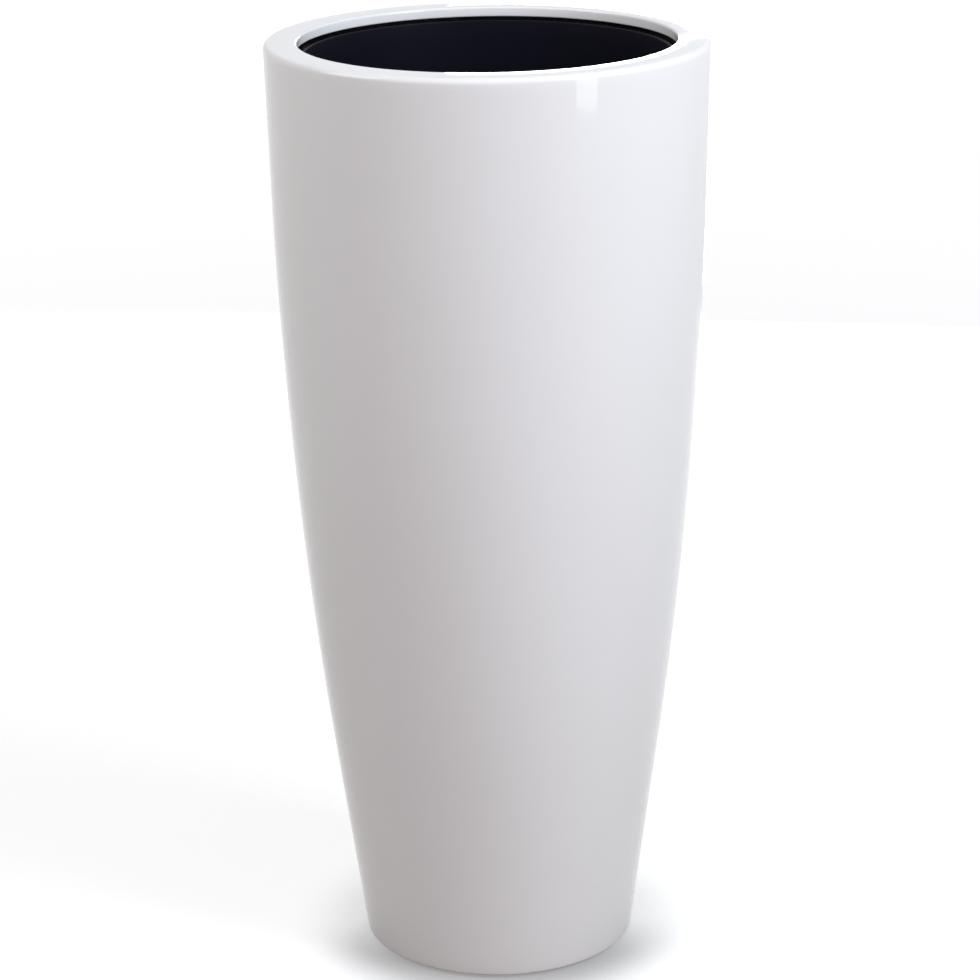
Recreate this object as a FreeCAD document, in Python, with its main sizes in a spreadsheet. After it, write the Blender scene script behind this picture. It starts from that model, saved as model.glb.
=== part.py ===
import FreeCAD, Part
import math
import os

import Sketcher
from FreeCAD import Placement, Rotation, Vector

# Tall round planter: a white laminate shell with a flat lip, and inside it a lift-out
# liner that stands on a shelf at half height.
# Millimetres and degrees. The origin is on the floor at the middle of the base, +Z is up,
# and the two lifting handles lie on the X axis.

SIZES = {
    # shell
    "overall_height": 800.0,      # floor to lip
    "rim_diameter": 370.0,
    "base_diameter": 237.0,
    "knee_height": 425.0,         # where the two straight stretches of the side would meet
    "upper_taper": 1.3,           # of the upper straight stretch, from vertical
    "bend_length": 245.0,         # from the knee to either end of the curved stretch
    "wall": 4.0,
    "lip_width": 28.0,
    "return_depth": 8.7,          # lip top to the lower edge of the return
    "rim_edge_radius": 5.0,
    "lip_edge_radius": 2.0,
    "base_edge_radius": 3.0,
    # floor of the shell
    "foot_width": 30.0,           # outside of the base to the ring's inner edge
    "foot_thickness": 5.0,
    "plate_thickness": 5.0,
    "bond_gap": 0.3,              # glue line between a bonded piece and the shell wall
    "drain_diameter": 20.0,
    # foot pads
    "pad_height": 2.0,
    "pad_diameter": 22.0,
    # drain bung
    "bung_gap": 0.08,             # stem to hole, on the radius
    "bung_tip": 2.0,              # how far the stem reaches below the plate
    "bung_flange_diameter": 34.0,
    "bung_flange_thickness": 4.0,
    "bung_flange_edge": 1.0,
    "bung_knob_diameter": 14.0,
    "bung_knob_height": 12.0,
    "bung_knob_edge": 2.8,
    "bung_tip_bevel": 1.0,
    # cleats and shelf
    "shelf_height": 407.0,        # underside of the shelf
    "shelf_thickness": 8.0,
    "shelf_gap": 7.0,             # shelf to lip opening, on the radius
    "shelf_edge": 1.0,
    "finger_hole_diameter": 40.0,
    "shelf_drain_diameter": 10.0,
    "shelf_drain_circle": 170.0,
    "cleat_bearing": 12.0,        # how far a cleat reaches under the shelf
    "cleat_nose": 8.0,            # height of the cleat's inner edge
    "cleat_slope": 48.0,          # of the cleat's underside, from level
    "cleat_angle": 16.0,
    # liner
    "liner_gap": 2.0,             # liner to lip opening, on the radius
    "liner_drop": 2.5,            # lower edge of the return to the liner's top edge
    "liner_taper": 3.5,
    "liner_wall": 3.0,
    "liner_edge_radius": 1.0,
    "liner_floor": 4.0,
    "liner_foot_height": 6.0,
    "liner_foot_width": 10.0,
    "liner_drain_diameter": 12.0,
    "liner_drain_circle": 150.0,
    # handles
    "wire_diameter": 5.0,
    "wire_gap": 0.08,             # wire to ear hole, on the radius
    "grip_width": 68.0,           # leg to leg, on the wire's centre line
    "grip_drop": 68.0,            # pivot to grip, on the wire's centre line
    "shoulder_radius": 7.0,
    "grip_radius": 12.0,
    "pivot_drop": 27.0,           # liner's top edge to the pivot
    "pivot_inset": 16.0,          # liner wall to the pivot
    "side_play": 0.5,             # wire shoulder to ear, and ear to wire head
    "head_diameter": 7.5,
    "head_thickness": 1.5,
    # plates that carry the handles
    "plate_gap": 0.6,             # liner wall to plate
    "plate_gauge": 1.5,
    "plate_height": 24.0,
    "plate_margin": 8.0,          # from the ear to the plate's end
    "ear_gauge": 2.0,
    "ear_radius": 6.0,
    # rivets
    "rivet_diameter": 4.8,
    "rivet_gap": 0.06,            # rivet to hole, on the radius
    "rivet_head_diameter": 9.5,
    "rivet_head_height": 1.8,
    "rivet_tail_diameter": 8.0,
    "rivet_tail_height": 1.2,
    "rivet_crown": 0.5,           # flat top of a head or tail, as a share of its diameter
    "rivet_inset": 10.0,          # from the wire's leg to the rivet, along the plate
}

# Places worked out from the sizes.
LAYOUT = {
    "rim_radius": "Sizes.rim_diameter / 2",
    "opening_radius": "rim_radius - Sizes.lip_width",
    "lip_underside": "Sizes.overall_height - Sizes.wall",
    "return_bottom": "Sizes.overall_height - Sizes.return_depth",
    "base_radius": "Sizes.base_diameter / 2",
    "foot_bottom": "Sizes.pad_height",
    "foot_top": "foot_bottom + Sizes.foot_thickness",
    "foot_inner": "base_radius - Sizes.foot_width",
    "pad_circle": "(foot_inner + base_radius - Sizes.wall) / 2",
    "knee_radius": "rim_radius - (Sizes.overall_height - Sizes.knee_height) * tan(Sizes.upper_taper)",
    "lower_taper": "atan((knee_radius - base_radius) / (Sizes.knee_height - foot_bottom)) / 1 deg",
    "bend_radius": "Sizes.bend_length / tan((lower_taper - Sizes.upper_taper) / 2)",
    "plate_top": "foot_top + Sizes.plate_thickness",
    "shelf_radius": "opening_radius - Sizes.shelf_gap",
    "shelf_top": "Sizes.shelf_height + Sizes.shelf_thickness",
    "cleat_inner": "shelf_radius - Sizes.cleat_bearing",
    "cleat_toe": "Sizes.shelf_height - Sizes.cleat_nose - (rim_radius - cleat_inner) * tan(Sizes.cleat_slope)",
    "liner_top": "return_bottom - Sizes.liner_drop",
    "liner_radius": "opening_radius - Sizes.liner_gap",
    "liner_base_radius": "liner_radius - (liner_top - shelf_top) * tan(Sizes.liner_taper)",
    "liner_underside": "shelf_top + Sizes.liner_foot_height",
    "liner_floor_top": "liner_underside + Sizes.liner_floor",
    "pivot_height": "liner_top - Sizes.pivot_drop",
    "pivot_wall": "liner_radius - Sizes.pivot_drop * tan(Sizes.liner_taper)"
                  " - Sizes.liner_wall / cos(Sizes.liner_taper)",
    "pivot_radius": "pivot_wall - Sizes.pivot_inset",
    "ear_inner": "Sizes.grip_width / 2 + Sizes.shoulder_radius + Sizes.side_play",
    "ear_outer": "ear_inner + Sizes.ear_gauge",
    "head_inner": "ear_outer + Sizes.side_play",
    "plate_angle": "2 * asin((ear_outer + Sizes.plate_margin) / pivot_wall) / 1 deg",
    "rivet_angle": "asin((Sizes.grip_width / 2 - Sizes.rivet_inset) / pivot_wall) / 1 deg",
    # the slope and the hollow of the wall across a level rivet's head
    "head_seat": "Sizes.rivet_head_diameter / 2 * tan(Sizes.liner_taper)"
                 " + Sizes.rivet_head_diameter ^ 2 / (8 * pivot_wall) + Sizes.rivet_gap",
}

PAD_COUNT = 4
CLEAT_COUNT = 4
SHELF_DRAIN_COUNT = 6
LINER_DRAIN_COUNT = 6
HALF_TURN = 180.0
FULL_TURN = 360.0
SIDES = {"right": 0.0, "left": HALF_TURN}
RIVET_TURNS = {"rivet_ahead": "Layout.rivet_angle", "rivet_behind": "-Layout.rivet_angle"}

doc = FreeCAD.newDocument("tall_planter")


# ---------------------------------------------------------------- sheets and bindings

def add_sheet(name, cells, prefix):
    """Sheet with an alias in column A and its value or formula in column B."""
    sheet = doc.addObject("Spreadsheet::Sheet", name)
    for row, (alias, value) in enumerate(cells.items(), start=1):
        sheet.set(f"A{row}", alias)
        sheet.set(f"B{row}", f"{prefix}{value}")
        sheet.setAlias(f"B{row}", alias)
    doc.recompute()
    return sheet


sizes = add_sheet("Sizes", SIZES, "")
layout = add_sheet("Layout", LAYOUT, "=")


def number(expression):
    """Present value of an expression."""
    result = sizes.evalExpression(expression)
    return float(getattr(result, "Value", result))


# ---------------------------------------------------------------- sketches

def add_body(label):
    body = doc.addObject("PartDesign::Body", label)
    body.Label = label
    return body


def origin_item(body, role):
    return next(item for item in body.Origin.OriginFeatures if item.Role == role)


def add_sketch(body, name, role="XZ_Plane", turn=None, shift=None):
    """Sketch on an origin plane, turned about its own upright axis and shifted, if asked."""
    sketch = body.newObject("Sketcher::SketchObject", f"{body.Label}_{name}")
    sketch.AttachmentSupport = (origin_item(body, role), [""])
    sketch.MapMode = "FlatFace"
    if turn:
        sketch.AttachmentOffset = Placement(Vector(), Rotation(Vector(0, 1, 0), number(turn)))
        sketch.setExpression("AttachmentOffset.Rotation.Angle", turn)
    for axis, expression in (shift or {}).items():
        sketch.setExpression(f"AttachmentOffset.Base.{axis}", expression)
    return sketch


def fix(sketch, kind, places, expression):
    """Dimension whose value follows an expression."""
    index = sketch.addConstraint(Sketcher.Constraint(kind, *places, number(expression)))
    sketch.setExpression(f"Constraints[{index}]", expression)


def fix_point(sketch, side, end, corner):
    fix(sketch, "DistanceX", (-1, 1, side, end), corner[0])
    fix(sketch, "DistanceY", (-1, 1, side, end), corner[1])


def arc_middle(start, finish, radius):
    """Middle of the arc; a positive radius bulges to the right of the way from start to finish."""
    chord = finish - start
    sagitta = abs(radius) - math.sqrt(radius ** 2 - (chord.Length / 2) ** 2)
    rightward = Vector(chord.y, -chord.x, 0).normalize() * math.copysign(sagitta, radius)
    return (start + finish) / 2 + rightward


def side_between(start, finish, radius):
    if radius is None:
        return Part.LineSegment(start, finish)
    return Part.Arc(start, arc_middle(start, finish, number(radius)), finish)


def end_at(sketch, side, point):
    """Which end of a side lies at the point: 1 for its start, 2 for its finish."""
    return min((1, 2), key=lambda end: (sketch.getPoint(side, end) - point).Length)


def draw(sketch, corners, arcs=None, closed=True):
    """Outline through corners, each a pair of expressions, across and up.

    arcs holds the radius of each side that isn't straight, by the number of its first corner.
    """
    arcs = arcs or {}
    points = [Vector(number(across), number(up), 0) for across, up in corners]
    count = len(points) if closed else len(points) - 1
    ends = [(index + 1) % len(points) for index in range(count)]
    sides = []
    for index, following in enumerate(ends):
        sides.append(sketch.addGeometry(side_between(points[index], points[following], arcs.get(index)), False))
    for index, side in enumerate(sides):
        fix_point(sketch, side, end_at(sketch, side, points[index]), corners[index])
        last = sides[index - 1]
        if index or closed:
            sketch.addConstraint(Sketcher.Constraint(
                "Coincident", last, end_at(sketch, last, points[index]),
                side, end_at(sketch, side, points[index])))
        if index in arcs:
            fix(sketch, "Radius", (side,), f"abs({arcs[index]})")
    if not closed:
        fix_point(sketch, sides[-1], end_at(sketch, sides[-1], points[-1]), corners[-1])
    return sketch


def draw_circle(sketch, across, up, radius):
    centre = Vector(number(across), number(up), 0)
    circle = sketch.addGeometry(Part.Circle(centre, Vector(0, 0, 1), number(radius)), False)
    fix_point(sketch, circle, 3, (across, up))
    fix(sketch, "Radius", (circle,), radius)
    return sketch


# ---------------------------------------------------------------- features

def revolve(body, sketch, kind="Revolution", angle=None, axis="V_Axis"):
    """Turned solid or groove about an axis of the sketch: all round, or evenly about the plane."""
    feature = body.newObject(f"PartDesign::{kind}", f"{sketch.Name}_{kind.lower()}")
    feature.Profile = sketch
    feature.ReferenceAxis = (sketch, [axis])
    feature.Angle = FULL_TURN
    if angle:
        feature.Midplane = True
        feature.setExpression("Angle", angle)
    doc.recompute()
    return feature


def pad(body, sketch, length):
    feature = body.newObject("PartDesign::Pad", f"{sketch.Name}_pad")
    feature.Profile = sketch
    feature.setExpression("Length", length)
    doc.recompute()
    return feature


def pocket(body, sketch):
    """Cut through everything on both sides of the sketch; it must take something away."""
    before = body.Tip.Shape.Volume
    feature = body.newObject("PartDesign::Pocket", f"{sketch.Name}_pocket")
    feature.Profile = sketch
    feature.Type = "ThroughAll"
    feature.SideType = "Symmetric"
    doc.recompute()
    assert feature.Shape.Volume < before, f"{feature.Name} cuts nothing"
    return feature


def polar_pattern(body, features, count):
    pattern = body.newObject("PartDesign::PolarPattern", f"{features[0].Name}_pattern")
    pattern.Originals = features
    pattern.Axis = (origin_item(body, "Z_Axis"), [""])
    pattern.Angle = FULL_TURN
    pattern.Occurrences = count
    body.Tip = pattern
    doc.recompute()
    return pattern


def mirror(body, features, role):
    mirrored = body.newObject("PartDesign::Mirrored", f"{features[0].Name}_{role}_mirror")
    mirrored.Originals = features
    mirrored.MirrorPlane = (origin_item(body, role), [""])
    body.Tip = mirrored
    doc.recompute()
    return mirrored


def ring_edges(shape, radius, height):
    """Names of the circular edges of one radius at one height."""
    found = []
    for index, edge in enumerate(shape.Edges, start=1):
        curve = edge.Curve
        if isinstance(curve, Part.Circle) and math.isclose(curve.Radius, radius, abs_tol=1e-4):
            if math.isclose(edge.CenterOfMass.z, height, abs_tol=1e-4):
                found.append(f"Edge{index}")
    assert found, f"no edge of radius {radius} at height {height}"
    return found


def dress(body, kind, size_name, size, rings):
    """Fillet or chamfer on ring edges, each a pair of expressions, radius and height."""
    base = body.Tip
    names = []
    for radius, height in rings:
        names += ring_edges(base.Shape, number(radius), number(height))
    feature = body.newObject(f"PartDesign::{kind}", f"{base.Name}_{kind.lower()}")
    feature.Base = (base, names)
    feature.setExpression(size_name, size)
    doc.recompute()
    return feature


def place(item, angle=0.0, across=None, up=None):
    """Turn a piece about the upright axis, then set it out along that direction and lift it."""
    item.Placement = Placement(Vector(), Rotation(Vector(0, 0, 1), angle))
    if across:
        item.setExpression("Placement.Base.x", f"({across}) * cos({angle})")
        item.setExpression("Placement.Base.y", f"({across}) * sin({angle})")
    if up:
        item.setExpression("Placement.Base.z", up)
    return item


# ---------------------------------------------------------------- shell

def shell_face(depth, low, high):
    """Corners from low to high along the face that lies depth inside the shell's outside.

    Two straight stretches with one curve between them, tangent to both.
    """
    knee = "Layout.knee_radius"
    bend = "Sizes.bend_length"
    upper = "Sizes.upper_taper"
    lower = "Layout.lower_taper"
    return [
        (f"Layout.base_radius + ({low} - Layout.foot_bottom) * tan({lower}) - {depth} / cos({lower})", low),
        (f"{knee} - {bend} * sin({lower}) - {depth} * cos({lower})",
         f"Sizes.knee_height - {bend} * cos({lower}) + {depth} * sin({lower})"),
        (f"{knee} + {bend} * sin({upper}) - {depth} * cos({upper})",
         f"Sizes.knee_height + {bend} * cos({upper}) + {depth} * sin({upper})"),
        (f"Layout.rim_radius - (Sizes.overall_height - {high}) * tan({upper}) - {depth} / cos({upper})", high),
    ]


def make_outer_shell():
    """One seamless laminate: side, and flat lip with its return."""
    body = add_body("outer_shell")
    outside = shell_face("0", "Layout.foot_bottom", "Sizes.overall_height")
    inside = shell_face("Sizes.wall", "Layout.foot_bottom", "Layout.lip_underside")
    lip = [
        ("Layout.opening_radius", "Sizes.overall_height"),
        ("Layout.opening_radius", "Layout.return_bottom"),
        ("Layout.opening_radius + Sizes.wall", "Layout.return_bottom"),
        ("Layout.opening_radius + Sizes.wall", "Layout.lip_underside"),
    ]
    arcs = {1: "Layout.bend_radius", 9: "Sizes.wall - Layout.bend_radius"}
    sketch = draw(add_sketch(body, "section"), outside + lip + inside[::-1], arcs)
    revolve(body, sketch)
    dress(body, "Fillet", "Radius", "Sizes.rim_edge_radius", [("Layout.rim_radius", "Sizes.overall_height")])
    dress(body, "Fillet", "Radius", "Sizes.lip_edge_radius", [("Layout.opening_radius", "Sizes.overall_height")])
    dress(body, "Fillet", "Radius", "Sizes.base_edge_radius", [("Layout.base_radius", "Layout.foot_bottom")])
    return body


def make_cavity():
    """Space that pieces bonded to the wall may fill: the shell's inside less the glue line."""
    body = add_body("cavity")
    side = shell_face("(Sizes.wall + Sizes.bond_gap)", "Layout.foot_bottom", "Layout.lip_underside")
    middle = [("0", "Layout.lip_underside"), ("0", "Layout.foot_bottom")]
    arcs = {1: "Layout.bend_radius - Sizes.wall - Sizes.bond_gap"}
    revolve(body, draw(add_sketch(body, "section"), side + middle, arcs))
    return body


def cut_to_wall(label, blank, cavity):
    piece = doc.addObject("Part::Common", label)
    piece.Label = label
    piece.Base = blank
    piece.Tool = cavity
    doc.recompute()
    return piece


def make_flat_ring(label, inner, low, high, cavity):
    """Flat laminate ring bonded in the shell, cut to its wall."""
    blank = add_body(f"{label}_blank")
    corners = [(inner, low), ("Layout.rim_radius", low), ("Layout.rim_radius", high), (inner, high)]
    revolve(blank, draw(add_sketch(blank, "section"), corners))
    return cut_to_wall(label, blank, cavity)


def make_foot_ring(cavity):
    """Ring inside the shell's lower edge, which carries the floor panel and the pads."""
    return make_flat_ring("foot_ring", "Layout.foot_inner", "Layout.foot_bottom", "Layout.foot_top", cavity)


def make_base_plate(cavity):
    """Floor panel on the foot ring, with the drain hole in its middle."""
    return make_flat_ring("base_plate", "Sizes.drain_diameter / 2", "Layout.foot_top", "Layout.plate_top", cavity)


def make_foot_pads():
    """Round rubber pads under the middle of the foot ring."""
    pads = []
    for index in range(PAD_COUNT):
        item = doc.addObject("Part::Cylinder", f"foot_pad_{index + 1}")
        item.Label = item.Name
        item.setExpression("Radius", "Sizes.pad_diameter / 2")
        item.setExpression("Height", "Sizes.pad_height")
        angle = FULL_TURN * (index + 0.5) / PAD_COUNT
        pads.append(place(item, angle, across="Layout.pad_circle"))
    return pads


def make_drain_bung():
    """Rubber bung: stem through the plate, flange on the plate, and a knob to pull it by."""
    body = add_body("drain_bung")
    stem = "Sizes.drain_diameter / 2 - Sizes.bung_gap"
    flange_top = "Layout.plate_top + Sizes.bung_flange_thickness"
    knob_top = f"{flange_top} + Sizes.bung_knob_height"
    stem_bottom = "Layout.foot_top - Sizes.bung_tip"
    corners = [
        ("0", stem_bottom),
        (stem, stem_bottom),
        (stem, "Layout.plate_top"),
        ("Sizes.bung_flange_diameter / 2", "Layout.plate_top"),
        ("Sizes.bung_flange_diameter / 2", flange_top),
        ("Sizes.bung_knob_diameter / 2", flange_top),
        ("Sizes.bung_knob_diameter / 2", knob_top),
        ("0", knob_top),
    ]
    revolve(body, draw(add_sketch(body, "section"), corners))
    dress(body, "Fillet", "Radius", "Sizes.bung_knob_edge", [("Sizes.bung_knob_diameter / 2", knob_top)])
    dress(body, "Fillet", "Radius", "Sizes.bung_flange_edge", [("Sizes.bung_flange_diameter / 2", flange_top)])
    dress(body, "Chamfer", "Size", "Sizes.bung_tip_bevel", [(stem, stem_bottom)])
    return body


# ---------------------------------------------------------------- shelf

def make_cleats(cavity):
    """Gussets bonded to the wall, whose flat tops carry the edge of the shelf."""
    cleats = []
    for index in range(CLEAT_COUNT):
        label = f"shelf_cleat_{index + 1}"
        blank = add_body(f"{label}_blank")
        corners = [
            ("Layout.cleat_inner", "Sizes.shelf_height"),
            ("Layout.cleat_inner", "Sizes.shelf_height - Sizes.cleat_nose"),
            ("Layout.rim_radius", "Layout.cleat_toe"),
            ("Layout.rim_radius", "Sizes.shelf_height"),
        ]
        revolve(blank, draw(add_sketch(blank, "section"), corners), angle="Sizes.cleat_angle")
        place(blank, FULL_TURN * (index + 0.5) / CLEAT_COUNT)
        cleats.append(cut_to_wall(label, blank, cavity))
    return cleats


def make_planting_shelf():
    """Disc with a finger hole in its middle and drain holes round it."""
    body = add_body("planting_shelf")
    level = {"z": "Sizes.shelf_height"}
    disc = draw_circle(add_sketch(body, "disc", "XY_Plane", shift=level), "0", "0", "Layout.shelf_radius")
    pad(body, disc, "Sizes.shelf_thickness")
    finger = add_sketch(body, "finger", "XY_Plane", shift=level)
    pocket(body, draw_circle(finger, "0", "0", "Sizes.finger_hole_diameter / 2"))
    drain = add_sketch(body, "drain", "XY_Plane", shift=level)
    draw_circle(drain, "Sizes.shelf_drain_circle / 2", "0", "Sizes.shelf_drain_diameter / 2")
    polar_pattern(body, [pocket(body, drain)], SHELF_DRAIN_COUNT)
    rings = [(radius, height)
             for radius in ("Layout.shelf_radius", "Sizes.finger_hole_diameter / 2")
             for height in ("Sizes.shelf_height", "Layout.shelf_top")]
    dress(body, "Chamfer", "Size", "Sizes.shelf_edge", rings)
    return body


# ---------------------------------------------------------------- liner

def liner_radius_at(height, depth="0"):
    """Radius of the cone that lies depth inside the liner's outside, at a height."""
    return (f"Layout.liner_radius - (Layout.liner_top - {height}) * tan(Sizes.liner_taper)"
            f" - {depth} / cos(Sizes.liner_taper)")


def make_liner():
    """Tapered insert on a foot ring, with drain holes in its raised floor."""
    body = add_body("liner")
    foot_inner = "Layout.liner_base_radius - Sizes.liner_foot_width"
    corners = [
        (foot_inner, "Layout.shelf_top"),
        ("Layout.liner_base_radius", "Layout.shelf_top"),
        ("Layout.liner_radius", "Layout.liner_top"),
        (liner_radius_at("Layout.liner_top", "Sizes.liner_wall"), "Layout.liner_top"),
        (liner_radius_at("Layout.liner_floor_top", "Sizes.liner_wall"), "Layout.liner_floor_top"),
        ("0", "Layout.liner_floor_top"),
        ("0", "Layout.liner_underside"),
        (foot_inner, "Layout.liner_underside"),
    ]
    revolve(body, draw(add_sketch(body, "section"), corners))
    dress(body, "Fillet", "Radius", "Sizes.liner_edge_radius", [
        ("Layout.liner_radius", "Layout.liner_top"),
        (liner_radius_at("Layout.liner_top", "Sizes.liner_wall"), "Layout.liner_top"),
    ])
    level = {"z": "Layout.liner_underside"}
    centre = add_sketch(body, "drain", "XY_Plane", shift=level)
    pocket(body, draw_circle(centre, "0", "0", "Sizes.liner_drain_diameter / 2"))
    outer = add_sketch(body, "drains", "XY_Plane", shift=level)
    draw_circle(outer, "Sizes.liner_drain_circle / 2", "0", "Sizes.liner_drain_diameter / 2")
    polar_pattern(body, [pocket(body, outer)], LINER_DRAIN_COUNT)
    drill_for_rivets(body)
    return body


def drill_for_rivets(body):
    """Rivet holes on both sides of the handle's middle, along the liner's radius."""
    for name, turn in RIVET_TURNS.items():
        sketch = add_sketch(body, name, "YZ_Plane", turn=turn)
        pocket(body, draw_circle(sketch, "0", "Layout.pivot_height", "Sizes.rivet_diameter / 2 + Sizes.rivet_gap"))


# ---------------------------------------------------------------- handles

def make_handle_plate(side, angle):
    """Curved plate against the liner's wall, with two ears that stand in to hold the wire."""
    body = add_body(f"handle_plate_{side}")
    low = "(Layout.pivot_height - Sizes.plate_height / 2)"
    high = "(Layout.pivot_height + Sizes.plate_height / 2)"
    back = "(Sizes.liner_wall + Sizes.plate_gap)"
    front = "(Sizes.liner_wall + Sizes.plate_gap + Sizes.plate_gauge)"
    band = [
        (liner_radius_at(low, front), low),
        (liner_radius_at(low, back), low),
        (liner_radius_at(high, back), high),
        (liner_radius_at(high, front), high),
    ]
    revolve(body, draw(add_sketch(body, "band"), band), angle="Layout.plate_angle")
    ear = add_sketch(body, "ear", "XZ_Plane", shift={"z": "Layout.ear_inner"})
    top = "Layout.pivot_height + Sizes.ear_radius"
    bottom = "Layout.pivot_height - Sizes.ear_radius"
    outline = [
        ("Layout.pivot_radius", top),
        ("Layout.pivot_radius - Sizes.ear_radius", "Layout.pivot_height"),
        ("Layout.pivot_radius", bottom),
        ("Layout.pivot_wall", bottom),
        ("Layout.pivot_wall", top),
    ]
    draw(ear, outline, {0: "Sizes.ear_radius", 1: "Sizes.ear_radius"})
    mirror(body, [pad(body, ear, "Sizes.ear_gauge")], "XZ_Plane")
    beyond = [
        (liner_radius_at(low, back), low),
        ("Layout.rim_radius", low),
        ("Layout.rim_radius", high),
        (liner_radius_at(high, back), high),
    ]
    revolve(body, draw(add_sketch(body, "beyond"), beyond), kind="Groove")
    pivot = add_sketch(body, "pivot", "XZ_Plane")
    pocket(body, draw_circle(pivot, "Layout.pivot_radius", "Layout.pivot_height",
                             "Sizes.wire_diameter / 2 + Sizes.wire_gap"))
    drill_for_rivets(body)
    return place(body, angle)


def make_handle(side, angle):
    """Wire bail that hangs from the ears, its ends headed outside them.

    Its own frame has the pivot axis along Y, at the origin.
    """
    body = add_body(f"handle_{side}")
    leg = "Sizes.grip_width / 2"
    corners = [
        ("Layout.head_inner", "0"),
        (f"{leg} + Sizes.shoulder_radius", "0"),
        (leg, "-Sizes.shoulder_radius"),
        (leg, "Sizes.grip_radius - Sizes.grip_drop"),
        (f"{leg} - Sizes.grip_radius", "-Sizes.grip_drop"),
    ]
    other_half = [(f"-({across})", up) for across, up in reversed(corners)]
    shoulder = "Sizes.shoulder_radius"
    grip = "-Sizes.grip_radius"
    arcs = {1: shoulder, 3: grip, 5: grip, 7: shoulder}
    spine = draw(add_sketch(body, "spine", "YZ_Plane"), corners + other_half, arcs, closed=False)
    section = add_sketch(body, "section", "XZ_Plane", shift={"z": "-Layout.head_inner"})
    draw_circle(section, "0", "0", "Sizes.wire_diameter / 2")
    wire = body.newObject("PartDesign::AdditivePipe", f"{body.Label}_wire")
    wire.Profile = section
    wire.Spine = spine
    doc.recompute()
    head = add_sketch(body, "head", "XZ_Plane", shift={"z": "Layout.head_inner"})
    draw_circle(head, "0", "0", "Sizes.head_diameter / 2")
    mirror(body, [pad(body, head, "Sizes.head_thickness")], "XZ_Plane")
    return place(body, angle, across="Layout.pivot_radius", up="Layout.pivot_height")


def make_handle_rivets():
    """Four rivets: a domed head inside on the plate, and a flatter one outside on the liner."""
    body = add_body("handle_rivets")
    plate_face = ("Layout.pivot_wall - (Sizes.plate_gap + Sizes.plate_gauge) / cos(Sizes.liner_taper)"
                  " - Layout.head_seat")
    liner_face = "Layout.pivot_wall + Sizes.liner_wall / cos(Sizes.liner_taper) + Layout.head_seat"
    shank = "Sizes.rivet_diameter / 2"
    corners = [
        (f"{plate_face} - Sizes.rivet_head_height", "0"),
        (f"{plate_face} - Sizes.rivet_head_height", "Sizes.rivet_head_diameter / 2 * Sizes.rivet_crown"),
        (plate_face, "Sizes.rivet_head_diameter / 2"),
        (plate_face, shank),
        (liner_face, shank),
        (liner_face, "Sizes.rivet_tail_diameter / 2"),
        (f"{liner_face} + Sizes.rivet_tail_height", "Sizes.rivet_tail_diameter / 2 * Sizes.rivet_crown"),
        (f"{liner_face} + Sizes.rivet_tail_height", "0"),
    ]
    pair = []
    for name, turn in RIVET_TURNS.items():
        section = add_sketch(body, name, turn=turn, shift={"y": "Layout.pivot_height"})
        pair.append(revolve(body, draw(section, corners), axis="H_Axis"))
    polar_pattern(body, pair, len(SIDES))
    return body


# ---------------------------------------------------------------- assembly

def check(items):
    """Every object must be sound, and every piece a valid shape, before anything is written."""
    for item in doc.Objects:
        assert not {"Invalid", "Error"} & set(item.State), f"{item.Label} failed"
    for item in items:
        assert not item.Shape.isNull() and item.Shape.isValid(), f"{item.Label} has no valid shape"


def main():
    cavity = make_cavity()
    pieces = [make_outer_shell(), make_foot_ring(cavity), make_base_plate(cavity), make_drain_bung()]
    pieces += make_foot_pads()
    pieces += make_cleats(cavity)
    pieces += [make_planting_shelf(), make_liner()]
    for side, angle in SIDES.items():
        pieces += [make_handle_plate(side, angle), make_handle(side, angle)]
    pieces.append(make_handle_rivets())
    doc.recompute()
    check(pieces)
    os.makedirs("parts", exist_ok=True)
    for piece in pieces:
        piece.Shape.exportStep(f"parts/{piece.Label}.step")
        box = piece.Shape.optimalBoundingBox()
        print(f"{piece.Label:22s} solids {len(piece.Shape.Solids)}  volume {piece.Shape.Volume:12.1f}"
              f"  z {box.ZMin:8.2f} {box.ZMax:8.2f}  x {box.XMin:8.2f} {box.XMax:8.2f}")


main()
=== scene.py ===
"""Tall round planter: a white gelcoated shell, and inside it a lift-out liner on a shelf.

Everything is in metres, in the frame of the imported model: the origin is on the floor at the
middle of the base, +Z is up and the two lifting handles lie on the X axis.
"""
from __future__ import annotations

import logging
import math
from dataclasses import dataclass, field
from enum import Enum
from typing import Callable, Iterable, Sequence

import bmesh
import bpy
from mathutils import Matrix, Vector, noise


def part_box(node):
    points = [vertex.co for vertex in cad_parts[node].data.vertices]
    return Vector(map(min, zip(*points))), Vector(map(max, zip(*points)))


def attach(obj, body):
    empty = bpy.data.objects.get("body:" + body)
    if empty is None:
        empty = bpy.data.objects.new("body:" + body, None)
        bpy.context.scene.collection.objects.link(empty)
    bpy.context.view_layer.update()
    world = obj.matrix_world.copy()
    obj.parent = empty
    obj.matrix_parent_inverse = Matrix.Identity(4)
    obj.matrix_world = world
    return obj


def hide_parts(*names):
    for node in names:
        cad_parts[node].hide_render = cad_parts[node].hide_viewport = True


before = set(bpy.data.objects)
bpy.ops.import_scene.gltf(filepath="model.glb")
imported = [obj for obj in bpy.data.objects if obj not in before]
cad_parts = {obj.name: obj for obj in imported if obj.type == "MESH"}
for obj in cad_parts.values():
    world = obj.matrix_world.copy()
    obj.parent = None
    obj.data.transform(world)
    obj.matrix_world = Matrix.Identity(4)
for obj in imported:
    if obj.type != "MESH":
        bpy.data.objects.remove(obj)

log = logging.getLogger("planter")

MM = 0.001
FULL_TURN = 2 * math.pi
CREASE = math.radians(35.0)

Point = tuple[float, float]
Colour = tuple[float, float, float]
Sockets = bpy.types.bpy_prop_collection


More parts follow.
